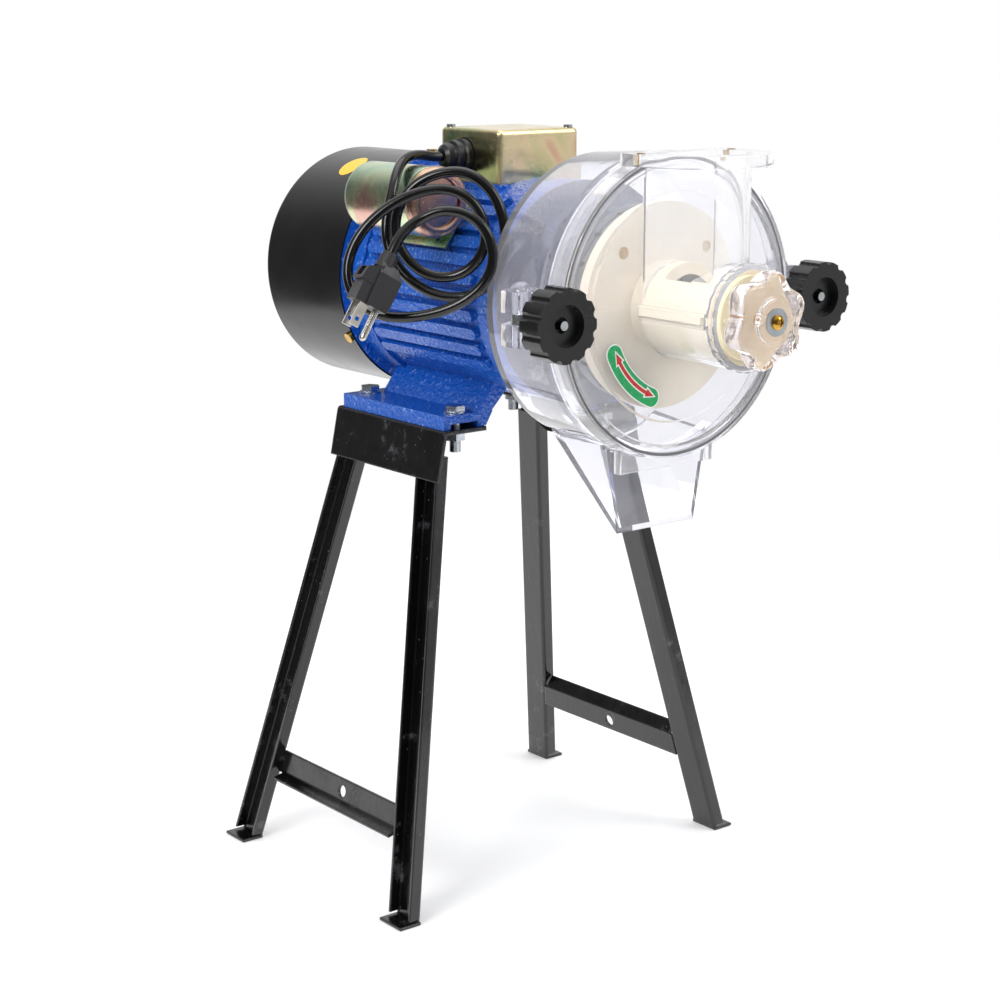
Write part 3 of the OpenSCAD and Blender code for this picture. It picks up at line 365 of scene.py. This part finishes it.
def cream_nylon():
    """Turned cast nylon: waxy cream with a dull shine and faint clouding."""
    made, tree, place = begin("cast nylon, cream")
    cloud = add(tree, "TexNoise", {"Vector": place, "Scale": 1 / (24 * MM), "Detail": 3})
    nylon = tuple(bpy.context.scene.grinder_finish.nylon)
    surface(tree, {
        "Base Color": add(tree, "ValToRGB", {"Fac": cloud.outputs[0]}, [
            (0.3, nylon), (0.9, linear("#d2c6ae"))]).outputs[0],
        "Roughness": add(tree, "MapRange", {
            "Value": cloud.outputs[0], **NOISE_RANGE, "To Min": 0.36, "To Max": 0.5}).outputs[0],
        "Subsurface Weight": 0.08, "Subsurface Scale": 4 * MM})
    return made


def moulded(name, code, low, high, grain, depth):
    """Opaque moulded plastic or rubber: one colour, a fine grain from the mould and patches of shine."""
    made, tree, place = begin(name)
    skin = add(tree, "TexNoise", {"Vector": place, "Scale": 1 / grain, "Detail": 3})
    cloud = add(tree, "TexNoise", {"Vector": place, "Scale": 1 / (14 * MM)})
    surface(tree, {
        "Base Color": linear(code),
        "Roughness": add(tree, "MapRange", {
            "Value": cloud.outputs[0], **NOISE_RANGE, "To Min": low, "To Max": high}).outputs[0],
        "Normal": add(tree, "Bump", {"Height": skin.outputs[0], "Distance": depth}).outputs[0]})
    return made


def metal(name, code, dull, low, high):
    """Bare or plated metal: two close tones and a fine grain."""
    made, tree, place = begin(name)
    skin = add(tree, "TexNoise", {"Vector": place, "Scale": 1 / (3 * MM), "Detail": 3})
    cloud = add(tree, "TexNoise", {"Vector": place, "Scale": 1 / (12 * MM), "Detail": 3})
    surface(tree, {
        "Base Color": add(tree, "ValToRGB", {"Fac": cloud.outputs[0]}, [
            (0.3, linear(code)), (0.7, linear(dull))]).outputs[0],
        "Roughness": add(tree, "MapRange", {
            "Value": skin.outputs[0], **NOISE_RANGE, "To Min": low, "To Max": high}).outputs[0],
        "Normal": add(tree, "Bump", {"Height": skin.outputs[0], "Distance": 0.02 * MM}).outputs[0],
        "Metallic": 1.0})
    return made


def cord_pvc():
    """Extruded PVC jacket: black, smooth and glossy, with a faint grain."""
    return moulded("PVC jacket, black", "#070708", 0.13, 0.22, 2 * MM, 0.02 * MM)


def printed(name, colour):
    """Ink on vinyl film: one colour with a soft gloss."""
    made, tree, place = begin(name)
    film = add(tree, "TexNoise", {"Vector": place, "Scale": 1 / (6 * MM)})
    surface(tree, {
        "Base Color": tuple(colour),
        "Roughness": add(tree, "MapRange", {
            "Value": film.outputs[0], **NOISE_RANGE, "To Min": 0.22, "To Max": 0.34}).outputs[0]})
    return made


def dress(material, *nodes):
    """Gives a finish to CAD nodes through their material slots."""
    for name in nodes:
        for slot in NODES[name].material_slots:
            slot.material = material


# Operators


CAMERA_PLACE, CAMERA_TARGET = Vector((-0.9519, -1.1503, 0.6189)), Vector((0.020, 0.078, 0.2614))
SENSOR_WIDTH = 36  # millimetres
NEAREST, FARTHEST = 0.05, 60  # what the camera sees, in metres


class GRINDER_OT_camera(Operator):
    """Places the camera at the photograph's viewpoint"""
    bl_idname = "grinder.camera"
    bl_label = "Camera"

    def execute(self, context):
        data = bpy.data.cameras.new("camera")
        data.lens = context.scene.grinder_stage.lens
        data.sensor_width = SENSOR_WIDTH
        data.clip_start, data.clip_end = NEAREST, FARTHEST
        camera = bpy.data.objects.new("camera", data)
        camera.location = CAMERA_PLACE
        camera.rotation_euler = (CAMERA_TARGET - CAMERA_PLACE).to_track_quat("-Z", "Y").to_euler()
        context.scene.collection.objects.link(camera)
        context.scene.camera = camera
        return {"FINISHED"}


# The cord, in millimetres. One row for each passing of the top or the bottom of the bundle:
# middle across, middle up, depth outwards, half width and half height there
LOOP_ROWS = np.array([
    [7, 4, -4, 64, 45],
    [15, -26, 6.6, 28, 18],
    [4, -3, 10.7, 42, 41],
    [6, 3, 7.4, 29, 34],
    [-2, -9, 19.8, 29, 35],
    [-16.4, -2, 31.4, 55, 56],
    [6.9, -45, 38.1, 37, 56],
])
LOOP_MIDDLE = np.array([-102, -14.7, 480.3])
LOOP_ACROSS = unit(np.array([0.7, -0.714, 0]))
LOOP_UP = np.array([0.2, 0, 1])
LOOP_OUT = unit(np.array([-0.714, -0.7, 0.143]))
LOOP_FIRST, LOOP_LAST = 156, 1190  # degrees
GLAND_TIP = np.array([-60, 43, 525])
PLUG_NECK = np.array([-155.5, -30, 469.5])
PLUG_RUN = unit(np.array([-0.52, 0.03, -0.86]))
CORD_STRAIGHT = 7
# How far the leads' curves pull at their ends: out of the gland, into the loops, out of them, into the plug
GLAND_PULL = np.array([-30, 0, 6])
LEAD_IN_PULL, LEAD_OUT_PULL, PLUG_PULL = 35, 13, 10


def loop_points(angle):
    """Ellipse whose middle and half sizes ease by a cosine from one row to the next over each half turn.

    The first row lies at 90 degrees."""
    half = np.clip((angle - 90) / 180, 0, len(LOOP_ROWS) - 1)
    low = np.minimum(np.floor(half), len(LOOP_ROWS) - 2).astype(int)
    share = (1 - np.cos(np.pi * (half - low))) / 2
    row = LOOP_ROWS[low] + share[:, None] * (LOOP_ROWS[low + 1] - LOOP_ROWS[low])
    turn = np.radians(angle)
    across = row[:, 0] + row[:, 3] * np.cos(turn)
    up = row[:, 1] + row[:, 4] * np.sin(turn)
    return (LOOP_MIDDLE + across[:, None] * LOOP_ACROSS + up[:, None] * LOOP_UP
            + row[:, 2:3] * LOOP_OUT)


def bezier(a, b, c, d, t):
    """Cubic curve through a and d that leaves towards b and arrives from c."""
    t = t[:, None]
    return (1 - t) ** 3 * a + 3 * (1 - t) ** 2 * t * b + 3 * (1 - t) * t ** 2 * c + t ** 3 * d


def cord_route(rings):
    """The cord's middle line in metres: gland, lead in, loops, lead out and plug."""
    first, last = GLAND_TIP - [CORD_STRAIGHT, 0, 0], PLUG_NECK - CORD_STRAIGHT * PLUG_RUN
    steps = int(np.ceil((LOOP_LAST - LOOP_FIRST) * rings / 360))
    loops = loop_points(np.linspace(LOOP_FIRST, LOOP_LAST, steps + 1))
    before, after = loop_points(np.array([LOOP_FIRST + 2, LOOP_LAST - 2]))
    lead_in = bezier(
        first, first + GLAND_PULL, loops[0] - LEAD_IN_PULL * unit(before - loops[0]), loops[0],
        np.linspace(0, 1, rings // 3, endpoint=False))
    lead_out = bezier(
        loops[-1], loops[-1] + LEAD_OUT_PULL * unit(loops[-1] - after), last - PLUG_PULL * PLUG_RUN, last,
        np.linspace(0, 1, rings // 6 + 1)[1:])
    return MM * np.concatenate([[GLAND_TIP], lead_in, loops, lead_out, [PLUG_NECK]])


class GRINDER_OT_cord(Operator):
    """Lays the power cord in its loose loops from the gland to the plug"""
    bl_idname = "grinder.cord"
    bl_label = "Power cord"

    def execute(self, context):
        settings = context.scene.grinder_cord
        route = cord_route(settings.rings)
        points, faces = tube(route, settings.diameter / 2, settings.sides, LOOP_OUT)
        cord = make_piece("cord_jacket", points, faces, "base", [cord_pvc()])
        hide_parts("power_cord")
        dress(moulded("moulded PVC plug, black", "#222225", 0.4, 0.55, 0.8 * MM, 0.04 * MM), "plug_body")
        dress(metal("nickel plated brass", "#d6d3cc", "#b9b5ab", 0.14, 0.26), "plug_blades")
        return {"FINISHED"}


class GRINDER_OT_stand(Operator):
    """Finishes the legs, braces, brackets and foot bolts"""
    bl_idname = "grinder.stand"
    bl_label = "Stand"

    def execute(self, context):
        dress(stove_enamel(), "left_bracket", "right_bracket", "left_front_leg", "left_rear_leg",
              "right_front_leg", "right_rear_leg", "left_brace", "right_brace")
        dress(metal("bright zinc plate", "#d8dce0", "#b6bbc1", 0.18, 0.34), "foot_bolts", "foot_nuts")
        return {"FINISHED"}


# Oval sticker on the fan cover: its angle round the shaft and place along it, its half sizes, the lines of
# its grid, and how far its two skins lie over the cover
STICKER_MIDDLE = (np.radians(118), 179 * MM)
STICKER_HALF_ROUND, STICKER_HALF_ALONG = 12.5 * MM, 10.5 * MM
STICKER_LINES = 25
STICKER_INSIDE, STICKER_OUTSIDE = 0.01 * MM, 0.12 * MM
PAINTED_SHADE_DEPTH = 13 * MM  # how far the painted shade reaches back on the front end shield, from its front


def oval_patch(middle, half_turn, half_along, inside, outside):
    """Square grid bent to an oval and wrapped round the shaft.

    A grid point u, v lies u sqrt(1 - v^2 / 2) of half_turn round the shaft from the middle, and
    v sqrt(1 - u^2 / 2) of half_along along it."""
    line = np.linspace(-1, 1, STICKER_LINES)
    u, v = np.meshgrid(line, line, indexing="ij")
    turn = middle[0] + half_turn * u * np.sqrt(1 - v ** 2 / 2)
    along = middle[1] + half_along * v * np.sqrt(1 - u ** 2 / 2)
    skins = [np.stack([reach * np.cos(turn), along, SHAFT_Z + reach * np.sin(turn)], axis=-1)
             for reach in (outside, inside)]
    return slab(*skins)


class GRINDER_OT_motor(Operator):
    """Finishes the cast motor, its fan cover and what turns inside it"""
    bl_idname = "grinder.motor"
    bl_label = "Motor"

    def execute(self, context):
        dress(cast_enamel("sand cast iron, blue enamel"), "motor_frame", "rear_end_shield")
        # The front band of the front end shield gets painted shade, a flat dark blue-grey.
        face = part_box("front_end_shield")[0][1] + PAINTED_SHADE_DEPTH
        dress(cast_enamel("sand cast iron, painted shade at front", face), "front_end_shield")
        dress(sheet_enamel(), "fan_cover")
        dress(metal("brass screws", "#d2ab58", "#a9843d", 0.2, 0.34), "fan_cover_screws")
        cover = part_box("fan_cover")[1][0]
        points, faces = oval_patch(
            STICKER_MIDDLE, STICKER_HALF_ROUND / cover, STICKER_HALF_ALONG, cover + STICKER_INSIDE,
            cover + STICKER_OUTSIDE)
        yellow = printed("vinyl film, yellow", linear("#f2c21a"))
        make_piece("fan_cover_sticker", points, faces, "base", [yellow])
        dress(metal("zinc plated screws", "#bfc4c9", "#9aa0a7", 0.24, 0.42), "end_shield_bolts")
        dress(metal("silicon steel sheets", "#7f8388", "#64686d", 0.4, 0.6), "stator_core", "rotor_core")
        dress(moulded("varnished copper winding", "#7a3520", 0.25, 0.4, 1.2 * MM, 0.2 * MM),
              "stator_windings")
        dress(metal("ground steel", "#b4b8bc", "#989da2", 0.18, 0.3), "motor_shaft", "front_bearing",
              "rear_bearing")
        dress(moulded("moulded nylon, black", "#1b1c1e", 0.4, 0.55, 1 * MM, 0.04 * MM), "cooling_fan")
        return {"FINISHED"}


class GRINDER_OT_electrics(Operator):
    """Finishes the terminal box, the gland and the capacitor housing"""
    bl_idname = "grinder.electrics"
    bl_label = "Electrics"

    def execute(self, context):
        dress(yellow_zinc("yellow passivated zinc, rolled", ("#7f967c", "#b0c8ae", "#ccd2ac", "#cda598")),
              "capacitor_can", "capacitor_saddle")
        dress(yellow_zinc("yellow passivated zinc, drawn", ("#9a8f6a", "#b89f80", "#cfa595", "#c9938f")),
              "capacitor_cap", "capacitor")
        dress(yellow_zinc("yellow passivated zinc, pressed", ("#9fb086", "#d3ca9a", "#e6d2aa", "#dca692")),
              "terminal_box")
        dress(metal("zinc plated box screws", "#c4c8cc", "#a1a6ab", 0.2, 0.36), "terminal_box_screws")
        dress(moulded("moulded rubber, black", "#0c0c0e", 0.3, 0.42, 1 * MM, 0.04 * MM), "cable_gland")
        dress(moulded("phenolic block, brown", "#2d1f18", 0.3, 0.42, 1 * MM, 0.03 * MM), "terminal_block")
        return {"FINISHED"}


class GRINDER_OT_head(Operator):
    """Finishes the clear drum and cover and the grinding parts in them"""
    bl_idname = "grinder.head"
    bl_label = "Grinding head"

    def execute(self, context):
        finish = context.scene.grinder_finish
        dress(clear_polycarbonate("clear polycarbonate, drum", tuple(finish.drum), 0.94),
              "drum", "left_hinge_pin", "right_hinge_pin")
        dress(clear_polycarbonate("clear polycarbonate, cover", tuple(finish.cover), 0.88),
              "front_cover", "tube_collar")
        dress(moulded("foam rubber seal, grey", "#7d7e86", 0.5, 0.7, 1.5 * MM, 0.1 * MM), "cover_seal")
        dress(cream_nylon(), "disc_carrier")
        dress(metal("brass inserts", "#cfae6a", "#ad8c4c", 0.22, 0.36), "hopper_inserts", "carrier_screws")
        dress(metal("machined cast iron", "#85888c", "#66696d", 0.35, 0.55), "fixed_disc", "rotating_disc")
        dress(metal("stainless steel", "#c5c8ca", "#a7abae", 0.18, 0.32), "auger", "disc_hub", "drum_screws")
        dress(moulded("moulded ABS, pale yellow", "#e2d9bc", 0.3, 0.42, 2 * MM, 0.02 * MM), "dial_plate")
        return {"FINISHED"}


# Section of the fineness knob, from the front of its hole outwards and back to the hole, in millimetres:
# mean radius, share of the lobes' wave there, place along the shaft
KNOB_ROWS = np.array([
    [2.9, 0, -226], [8, 0, -226], [12.4, 0, -226], [13.6, 0, -225.6], [14.3, 0, -224.6], [15, 0, -223.4],
    [16.4, 0.1, -222.7], [18.6, 0.35, -222.5], [21, 0.65, -222.8], [23.2, 0.9, -223.4], [25.2, 1, -223.6],
    [27.2, 1, -223], [28.6, 1, -221.8], [29.3, 1, -220], [29.5, 1, -217.5], [29.5, 1, -214.5],
    [29.2, 1, -212], [28.4, 1, -210], [27, 1, -208.6], [25, 0.9, -207.9], [22, 0.6, -207.6],
    [17, 0.2, -207.6], [10, 0, -207.6], [2.9, 0, -207.6],
])


def lobed_surface(rows, lobes, wave, crest, columns):
    """Closed section carried round the shaft; each radius swells by a cosine wave with one crest a lobe."""
    turn = np.linspace(0, 2 * np.pi, columns, endpoint=False)
    reach = MM * (rows[:, :1] + wave * rows[:, 1:2] * np.cos(lobes * (turn - np.radians(crest))))
    along = np.broadcast_to(MM * rows[:, 2:], reach.shape)
    points = np.stack([reach * np.cos(turn), along, SHAFT_Z + reach * np.sin(turn)], axis=-1)
    return points.reshape(-1, 3), grid_faces(len(rows), columns, wrap_rows=True, wrap_columns=True).tolist()


class GRINDER_OT_knobs(Operator):
    """Finishes the fineness knob, the star knobs and their bolts"""
    bl_idname = "grinder.knobs"
    bl_label = "Knobs and clamps"

    def execute(self, context):
        settings = context.scene.grinder_knob
        points, faces = lobed_surface(
            KNOB_ROWS, settings.lobes, settings.wave / MM, settings.crest, settings.columns)
        knob = make_piece(
            "fineness_knob_moulding", points, faces, "fine_knob", [tinted_acrylic()])
        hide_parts("fineness_knob")
        dress(metal("zinc plated washer", "#c0c6cc", "#9fa6ad", 0.26, 0.44),
              "knob_washer", "left_clamp_washer", "right_clamp_washer")
        dress(metal("brass plated screw", "#d3a64b", "#a37a2c", 0.14, 0.28), "knob_screw")
        dress(moulded("moulded ABS, black", "#0b0c0d", 0.24, 0.36, 0.9 * MM, 0.08 * MM),
              "left_clamp_knob", "right_clamp_knob")
        dress(metal("bright steel", "#c9cdd1", "#aab0b5", 0.16, 0.3), "left_swing_bolt", "right_swing_bolt")
        return {"FINISHED"}


# Turning label: where the cover's plate lies along the shaft, the ends of the band in degrees and the width of
# its border; then for the arrow's white edge and for its red core both tips and a head's length in degrees,
# a head's half width and the shaft's half width
LABEL_PLATE = -138 * MM
LABEL_ENDS = (-155.5, -112.5)
LABEL_BORDER = 0.8 * MM
ARROW_EDGE = (-157.5, -109.5, 9.6, 4.1 * MM, 2.1 * MM)
ARROW_CORE = (-155.6, -111.4, 6.8, 2.7 * MM, 1.25 * MM)
ARROW_INWARDS = 1.3 * MM  # from the band's middle line towards the shaft
ARROW_TIP = 0.05 * MM  # half width that a tip keeps
CAP_TURN = np.radians(np.linspace(6, 90, 15))  # lines of a round end
BAND_LINES, ARROW_LINES = 41, 31
# Over the plate, in millimetres: the back of every layer, the front of the first, and the step to the next
LAYER_BACK, LAYER_FRONT, LAYER_STEP = 0.02, 0.12, 0.05
WHITE_FILM, GREEN_INK, RED_INK = range(3)


def arc_strip(angles, halves, radius, y_front, y_back):
    """Flat strip that follows an arc about the shaft: half widths set off in and out from a radius."""
    turn = np.radians(angles)[:, None]
    reach = radius + np.asarray(halves)[:, None] * np.array([-1, 0, 1])
    front = np.stack([
        reach * np.cos(turn), np.full_like(reach, y_front), SHAFT_Z + reach * np.sin(turn)], axis=-1)
    return slab(front, front + [0, y_back - y_front, 0])


def capsule_rows(first, last, half, radius):
    """Angles and half widths of a band with round ends: a quarter circle at each end and a straight run."""
    cap = np.degrees(half * np.cos(CAP_TURN) / radius)
    middle = np.linspace(first, last, BAND_LINES)[1:-1]
    angles = np.concatenate([first - cap, middle, (last + cap)[::-1]])
    halves = half * np.concatenate([np.sin(CAP_TURN), np.ones(len(middle)), np.sin(CAP_TURN)[::-1]])
    return angles, halves


def arrow_rows(first, last, head, wing, half):
    """Angles and half widths of a double arrow: a tip, a head that widens to wing, and a shaft of half."""
    inner = np.linspace(first + head, last - head, ARROW_LINES)
    angles = np.concatenate([[first, first + head], inner, [last - head, last]])
    halves = np.concatenate([[ARROW_TIP, wing], np.full(len(inner), half), [wing, ARROW_TIP]])
    return angles, halves


class GRINDER_OT_label(Operator):
    """Lays the green turning label with its double arrow on the cover"""
    bl_idname = "grinder.label"
    bl_label = "Turning label"

    def execute(self, context):
        settings = context.scene.grinder_label
        radius, half = settings.radius, settings.half_width
        layers = [
            (capsule_rows(*LABEL_ENDS, half, radius), radius, WHITE_FILM),
            (capsule_rows(*LABEL_ENDS, half - LABEL_BORDER, radius), radius, GREEN_INK),
            (arrow_rows(*ARROW_EDGE), radius - ARROW_INWARDS, WHITE_FILM),
            (arrow_rows(*ARROW_CORE), radius - ARROW_INWARDS, RED_INK),
        ]
        points, faces, kinds = [], [], []
        for level, ((angles, halves), middle, kind) in enumerate(layers):
            front = LABEL_PLATE - (LAYER_FRONT + LAYER_STEP * level) * MM
            strip, quads = arc_strip(angles, halves, middle, front, LABEL_PLATE - LAYER_BACK * MM)
            first = sum(len(p) for p in points)
            points.append(strip)
            faces += [[first + i for i in quad] for quad in quads]
            kinds += [kind] * len(quads)
        inks = [
            printed("vinyl film, white", linear("#f1f2f0")), printed("printed vinyl, green", settings.field),
            printed("printed vinyl, red", settings.arrow)]
        make_piece(
            "turning_label", np.concatenate(points), faces, "base", inks, kinds, smooth=False)
        return {"FINISHED"}


# Lamps: name, place and size in metres, share of the key light's power
LAMPS = (
    ("key", (-2.3, -0.6, 1.7), 1.0, 1.0),
    ("side", (1.5, -1.9, 2.1), 1.2, 0.7),
    ("top", (0.2, 0.3, 2.4), 1.8, 0.48),
)
LAMP_TARGET = Vector((0, 0, 0.35))
# Directions in which gloss meets the white paper behind the machine and the pale panel in front of it
PAPER_WAY, PANEL_WAY = (0.62, 0.78, 0.0), (0.62, -0.78, 0.0)
FLOOR_HALF, FLOOR_DROP = 1, 0.0004  # half its side, and how far it lies under the feet, in metres
FLOOR_LINES = 9
FLOOR_GLOW, FLOOR_GLOSS = 0.2, 0.45  # light it adds of its own, to plain sight and to gloss


class GRINDER_OT_stage(Operator):
    """Lays the white floor and sets the soft light"""
    bl_idname = "grinder.stage"
    bl_label = "Stage"

    def execute(self, context):
        settings = context.scene.grinder_stage
        self.lay_floor(context, settings)
        self.set_sky(context, settings)
        self.hang_lamps(context, settings)
        context.scene.view_settings.view_transform = "Standard"
        return {"FINISHED"}

    def lay_floor(self, context, settings):
        """Square grid of white paper just under the feet: it glows a little and keeps the shadow."""
        made, tree, _ = begin("paper floor, white")
        ray = add(tree, "LightPath")
        seen = add(tree, "Math", {0: ray.outputs["Is Camera Ray"], 1: ray.outputs["Is Transmission Ray"]},
                   operation="MAXIMUM")
        gloss = add(tree, "Math", {0: ray.outputs["Is Glossy Ray"], 1: FLOOR_GLOSS}, operation="MULTIPLY")
        glow = add(tree, "Math", {0: seen.outputs[0], 1: FLOOR_GLOW, 2: gloss.outputs[0]},
                   operation="MULTIPLY_ADD")
        surface(tree, {
            "Base Color": tuple(settings.floor), "Roughness": 0.9, "Emission Color": WHITE,
            "Emission Strength": glow.outputs[0]})
        line = np.linspace(-FLOOR_HALF, FLOOR_HALF, FLOOR_LINES)
        across, along = np.meshgrid(line, line, indexing="ij")
        points = np.stack([across, along, np.full_like(across, -FLOOR_DROP)], axis=-1).reshape(-1, 3)
        mesh = bpy.data.meshes.new("floor")
        mesh.from_pydata(points.tolist(), [], grid_faces(FLOOR_LINES, FLOOR_LINES)[:, ::-1].tolist())
        mesh.materials.append(made)
        floor = bpy.data.objects.new("floor", mesh)
        context.scene.collection.objects.link(floor)

    def set_sky(self, context, settings):
        """Even light from all round, which the camera and clear plastic see as white.

        Gloss meets a dark room with white paper behind the machine, a pale panel in front on the right and a
        white ceiling."""
        world = bpy.data.worlds.new("studio")
        world.use_nodes = True
        tree = world.node_tree
        tree.nodes.clear()
        ray = add(tree, "LightPath")
        way = add(tree, "TexCoord").outputs["Generated"]
        behind = add(tree, "VectorMath", {0: way, 1: PAPER_WAY}, operation="DOT_PRODUCT")
        paper = add(tree, "MapRange", {
            "Value": behind.outputs["Value"], "From Min": 0.35, "From Max": 0.75, "To Min": settings.room,
            "To Max": 1.0})
        ceiling = add(tree, "MapRange", {
            "Value": add(tree, "SeparateXYZ", {0: way}).outputs["Z"], "From Min": 0.4, "From Max": 0.8,
            "To Min": 0.0, "To Max": 1.0})
        before = add(tree, "VectorMath", {0: way, 1: PANEL_WAY}, operation="DOT_PRODUCT")
        panel = add(tree, "MapRange", {
            "Value": before.outputs["Value"], "From Min": 0.45, "From Max": 0.9, "To Min": 0.0,
            "To Max": 0.75})
        sweep = add(tree, "Math", {0: paper.outputs[0], 1: ceiling.outputs[0]}, operation="MAXIMUM")
        studio = add(tree, "Math", {0: sweep.outputs[0], 1: panel.outputs[0]}, operation="MAXIMUM")
        light = add(tree, "MapRange", {
            "Value": ray.outputs["Is Glossy Ray"], "To Min": settings.sky, "To Max": studio.outputs[0]})
        seen = add(tree, "Math", {0: ray.outputs["Is Camera Ray"], 1: ray.outputs["Is Transmission Ray"]},
                   operation="MAXIMUM")
        level = add(tree, "MapRange", {"Value": seen.outputs[0], "To Min": light.outputs[0], "To Max": 1.0})
        sky = add(tree, "Background", {"Color": WHITE, "Strength": level.outputs[0]})
        add(tree, "OutputWorld", {"Surface": sky.outputs[0]})
        context.scene.world = world

    def hang_lamps(self, context, settings):
        """A large lamp high on the left, a weaker one high in front on the right and one overhead."""
        for name, place, size, share in LAMPS:
            data = bpy.data.lights.new(name, "AREA")
            data.size = size
            data.energy = settings.key * share
            lamp = bpy.data.objects.new(name, data)
            lamp.location = place
            aim = LAMP_TARGET - Vector(place)
            lamp.rotation_euler = aim.to_track_quat("-Z", "Y").to_euler()
            context.scene.collection.objects.link(lamp)


OPERATORS = (
    GRINDER_OT_camera, GRINDER_OT_cord, GRINDER_OT_stand, GRINDER_OT_motor, GRINDER_OT_electrics,
    GRINDER_OT_head, GRINDER_OT_knobs, GRINDER_OT_label, GRINDER_OT_stage,
)
SETTINGS = {
    "grinder_cord": CordSettings, "grinder_label": LabelSettings, "grinder_knob": KnobSettings,
    "grinder_finish": FinishSettings, "grinder_stage": StageSettings,
}


class GRINDER_PT_pieces(Panel):
    """Lists the grinder's pieces and their settings"""
    bl_idname = "GRINDER_PT_pieces"
    bl_label = "Wet grinder"
    bl_space_type = "VIEW_3D"
    bl_region_type = "UI"
    bl_category = "Grinder"

    def draw(self, context):
        column = self.layout.column(align=True)
        for operator in OPERATORS:
            column.operator(operator.bl_idname)
        for group in SETTINGS:
            settings = getattr(context.scene, group)
            for name in settings.__annotations__:
                self.layout.prop(settings, name)


CLASSES = (*SETTINGS.values(), *OPERATORS, GRINDER_PT_pieces)


def register():
    """Makes the classes and the scene's settings known to Blender."""
    for cls in CLASSES:
        bpy.utils.register_class(cls)
    for name, group in SETTINGS.items():
        setattr(bpy.types.Scene, name, PointerProperty(type=group))


def unregister():
    """Takes away what register made, in the other order."""
    for name in SETTINGS:
        delattr(bpy.types.Scene, name)
    for cls in reversed(CLASSES):
        bpy.utils.unregister_class(cls)


def main():
    """Builds every piece in order."""
    register()
    bpy.ops.grinder.camera()
    bpy.ops.grinder.cord()
    bpy.ops.grinder.stand()
    bpy.ops.grinder.motor()
    bpy.ops.grinder.electrics()
    bpy.ops.grinder.head()
    bpy.ops.grinder.knobs()
    bpy.ops.grinder.label()
    bpy.ops.grinder.stage()


if __name__ == "__main__":
    main()
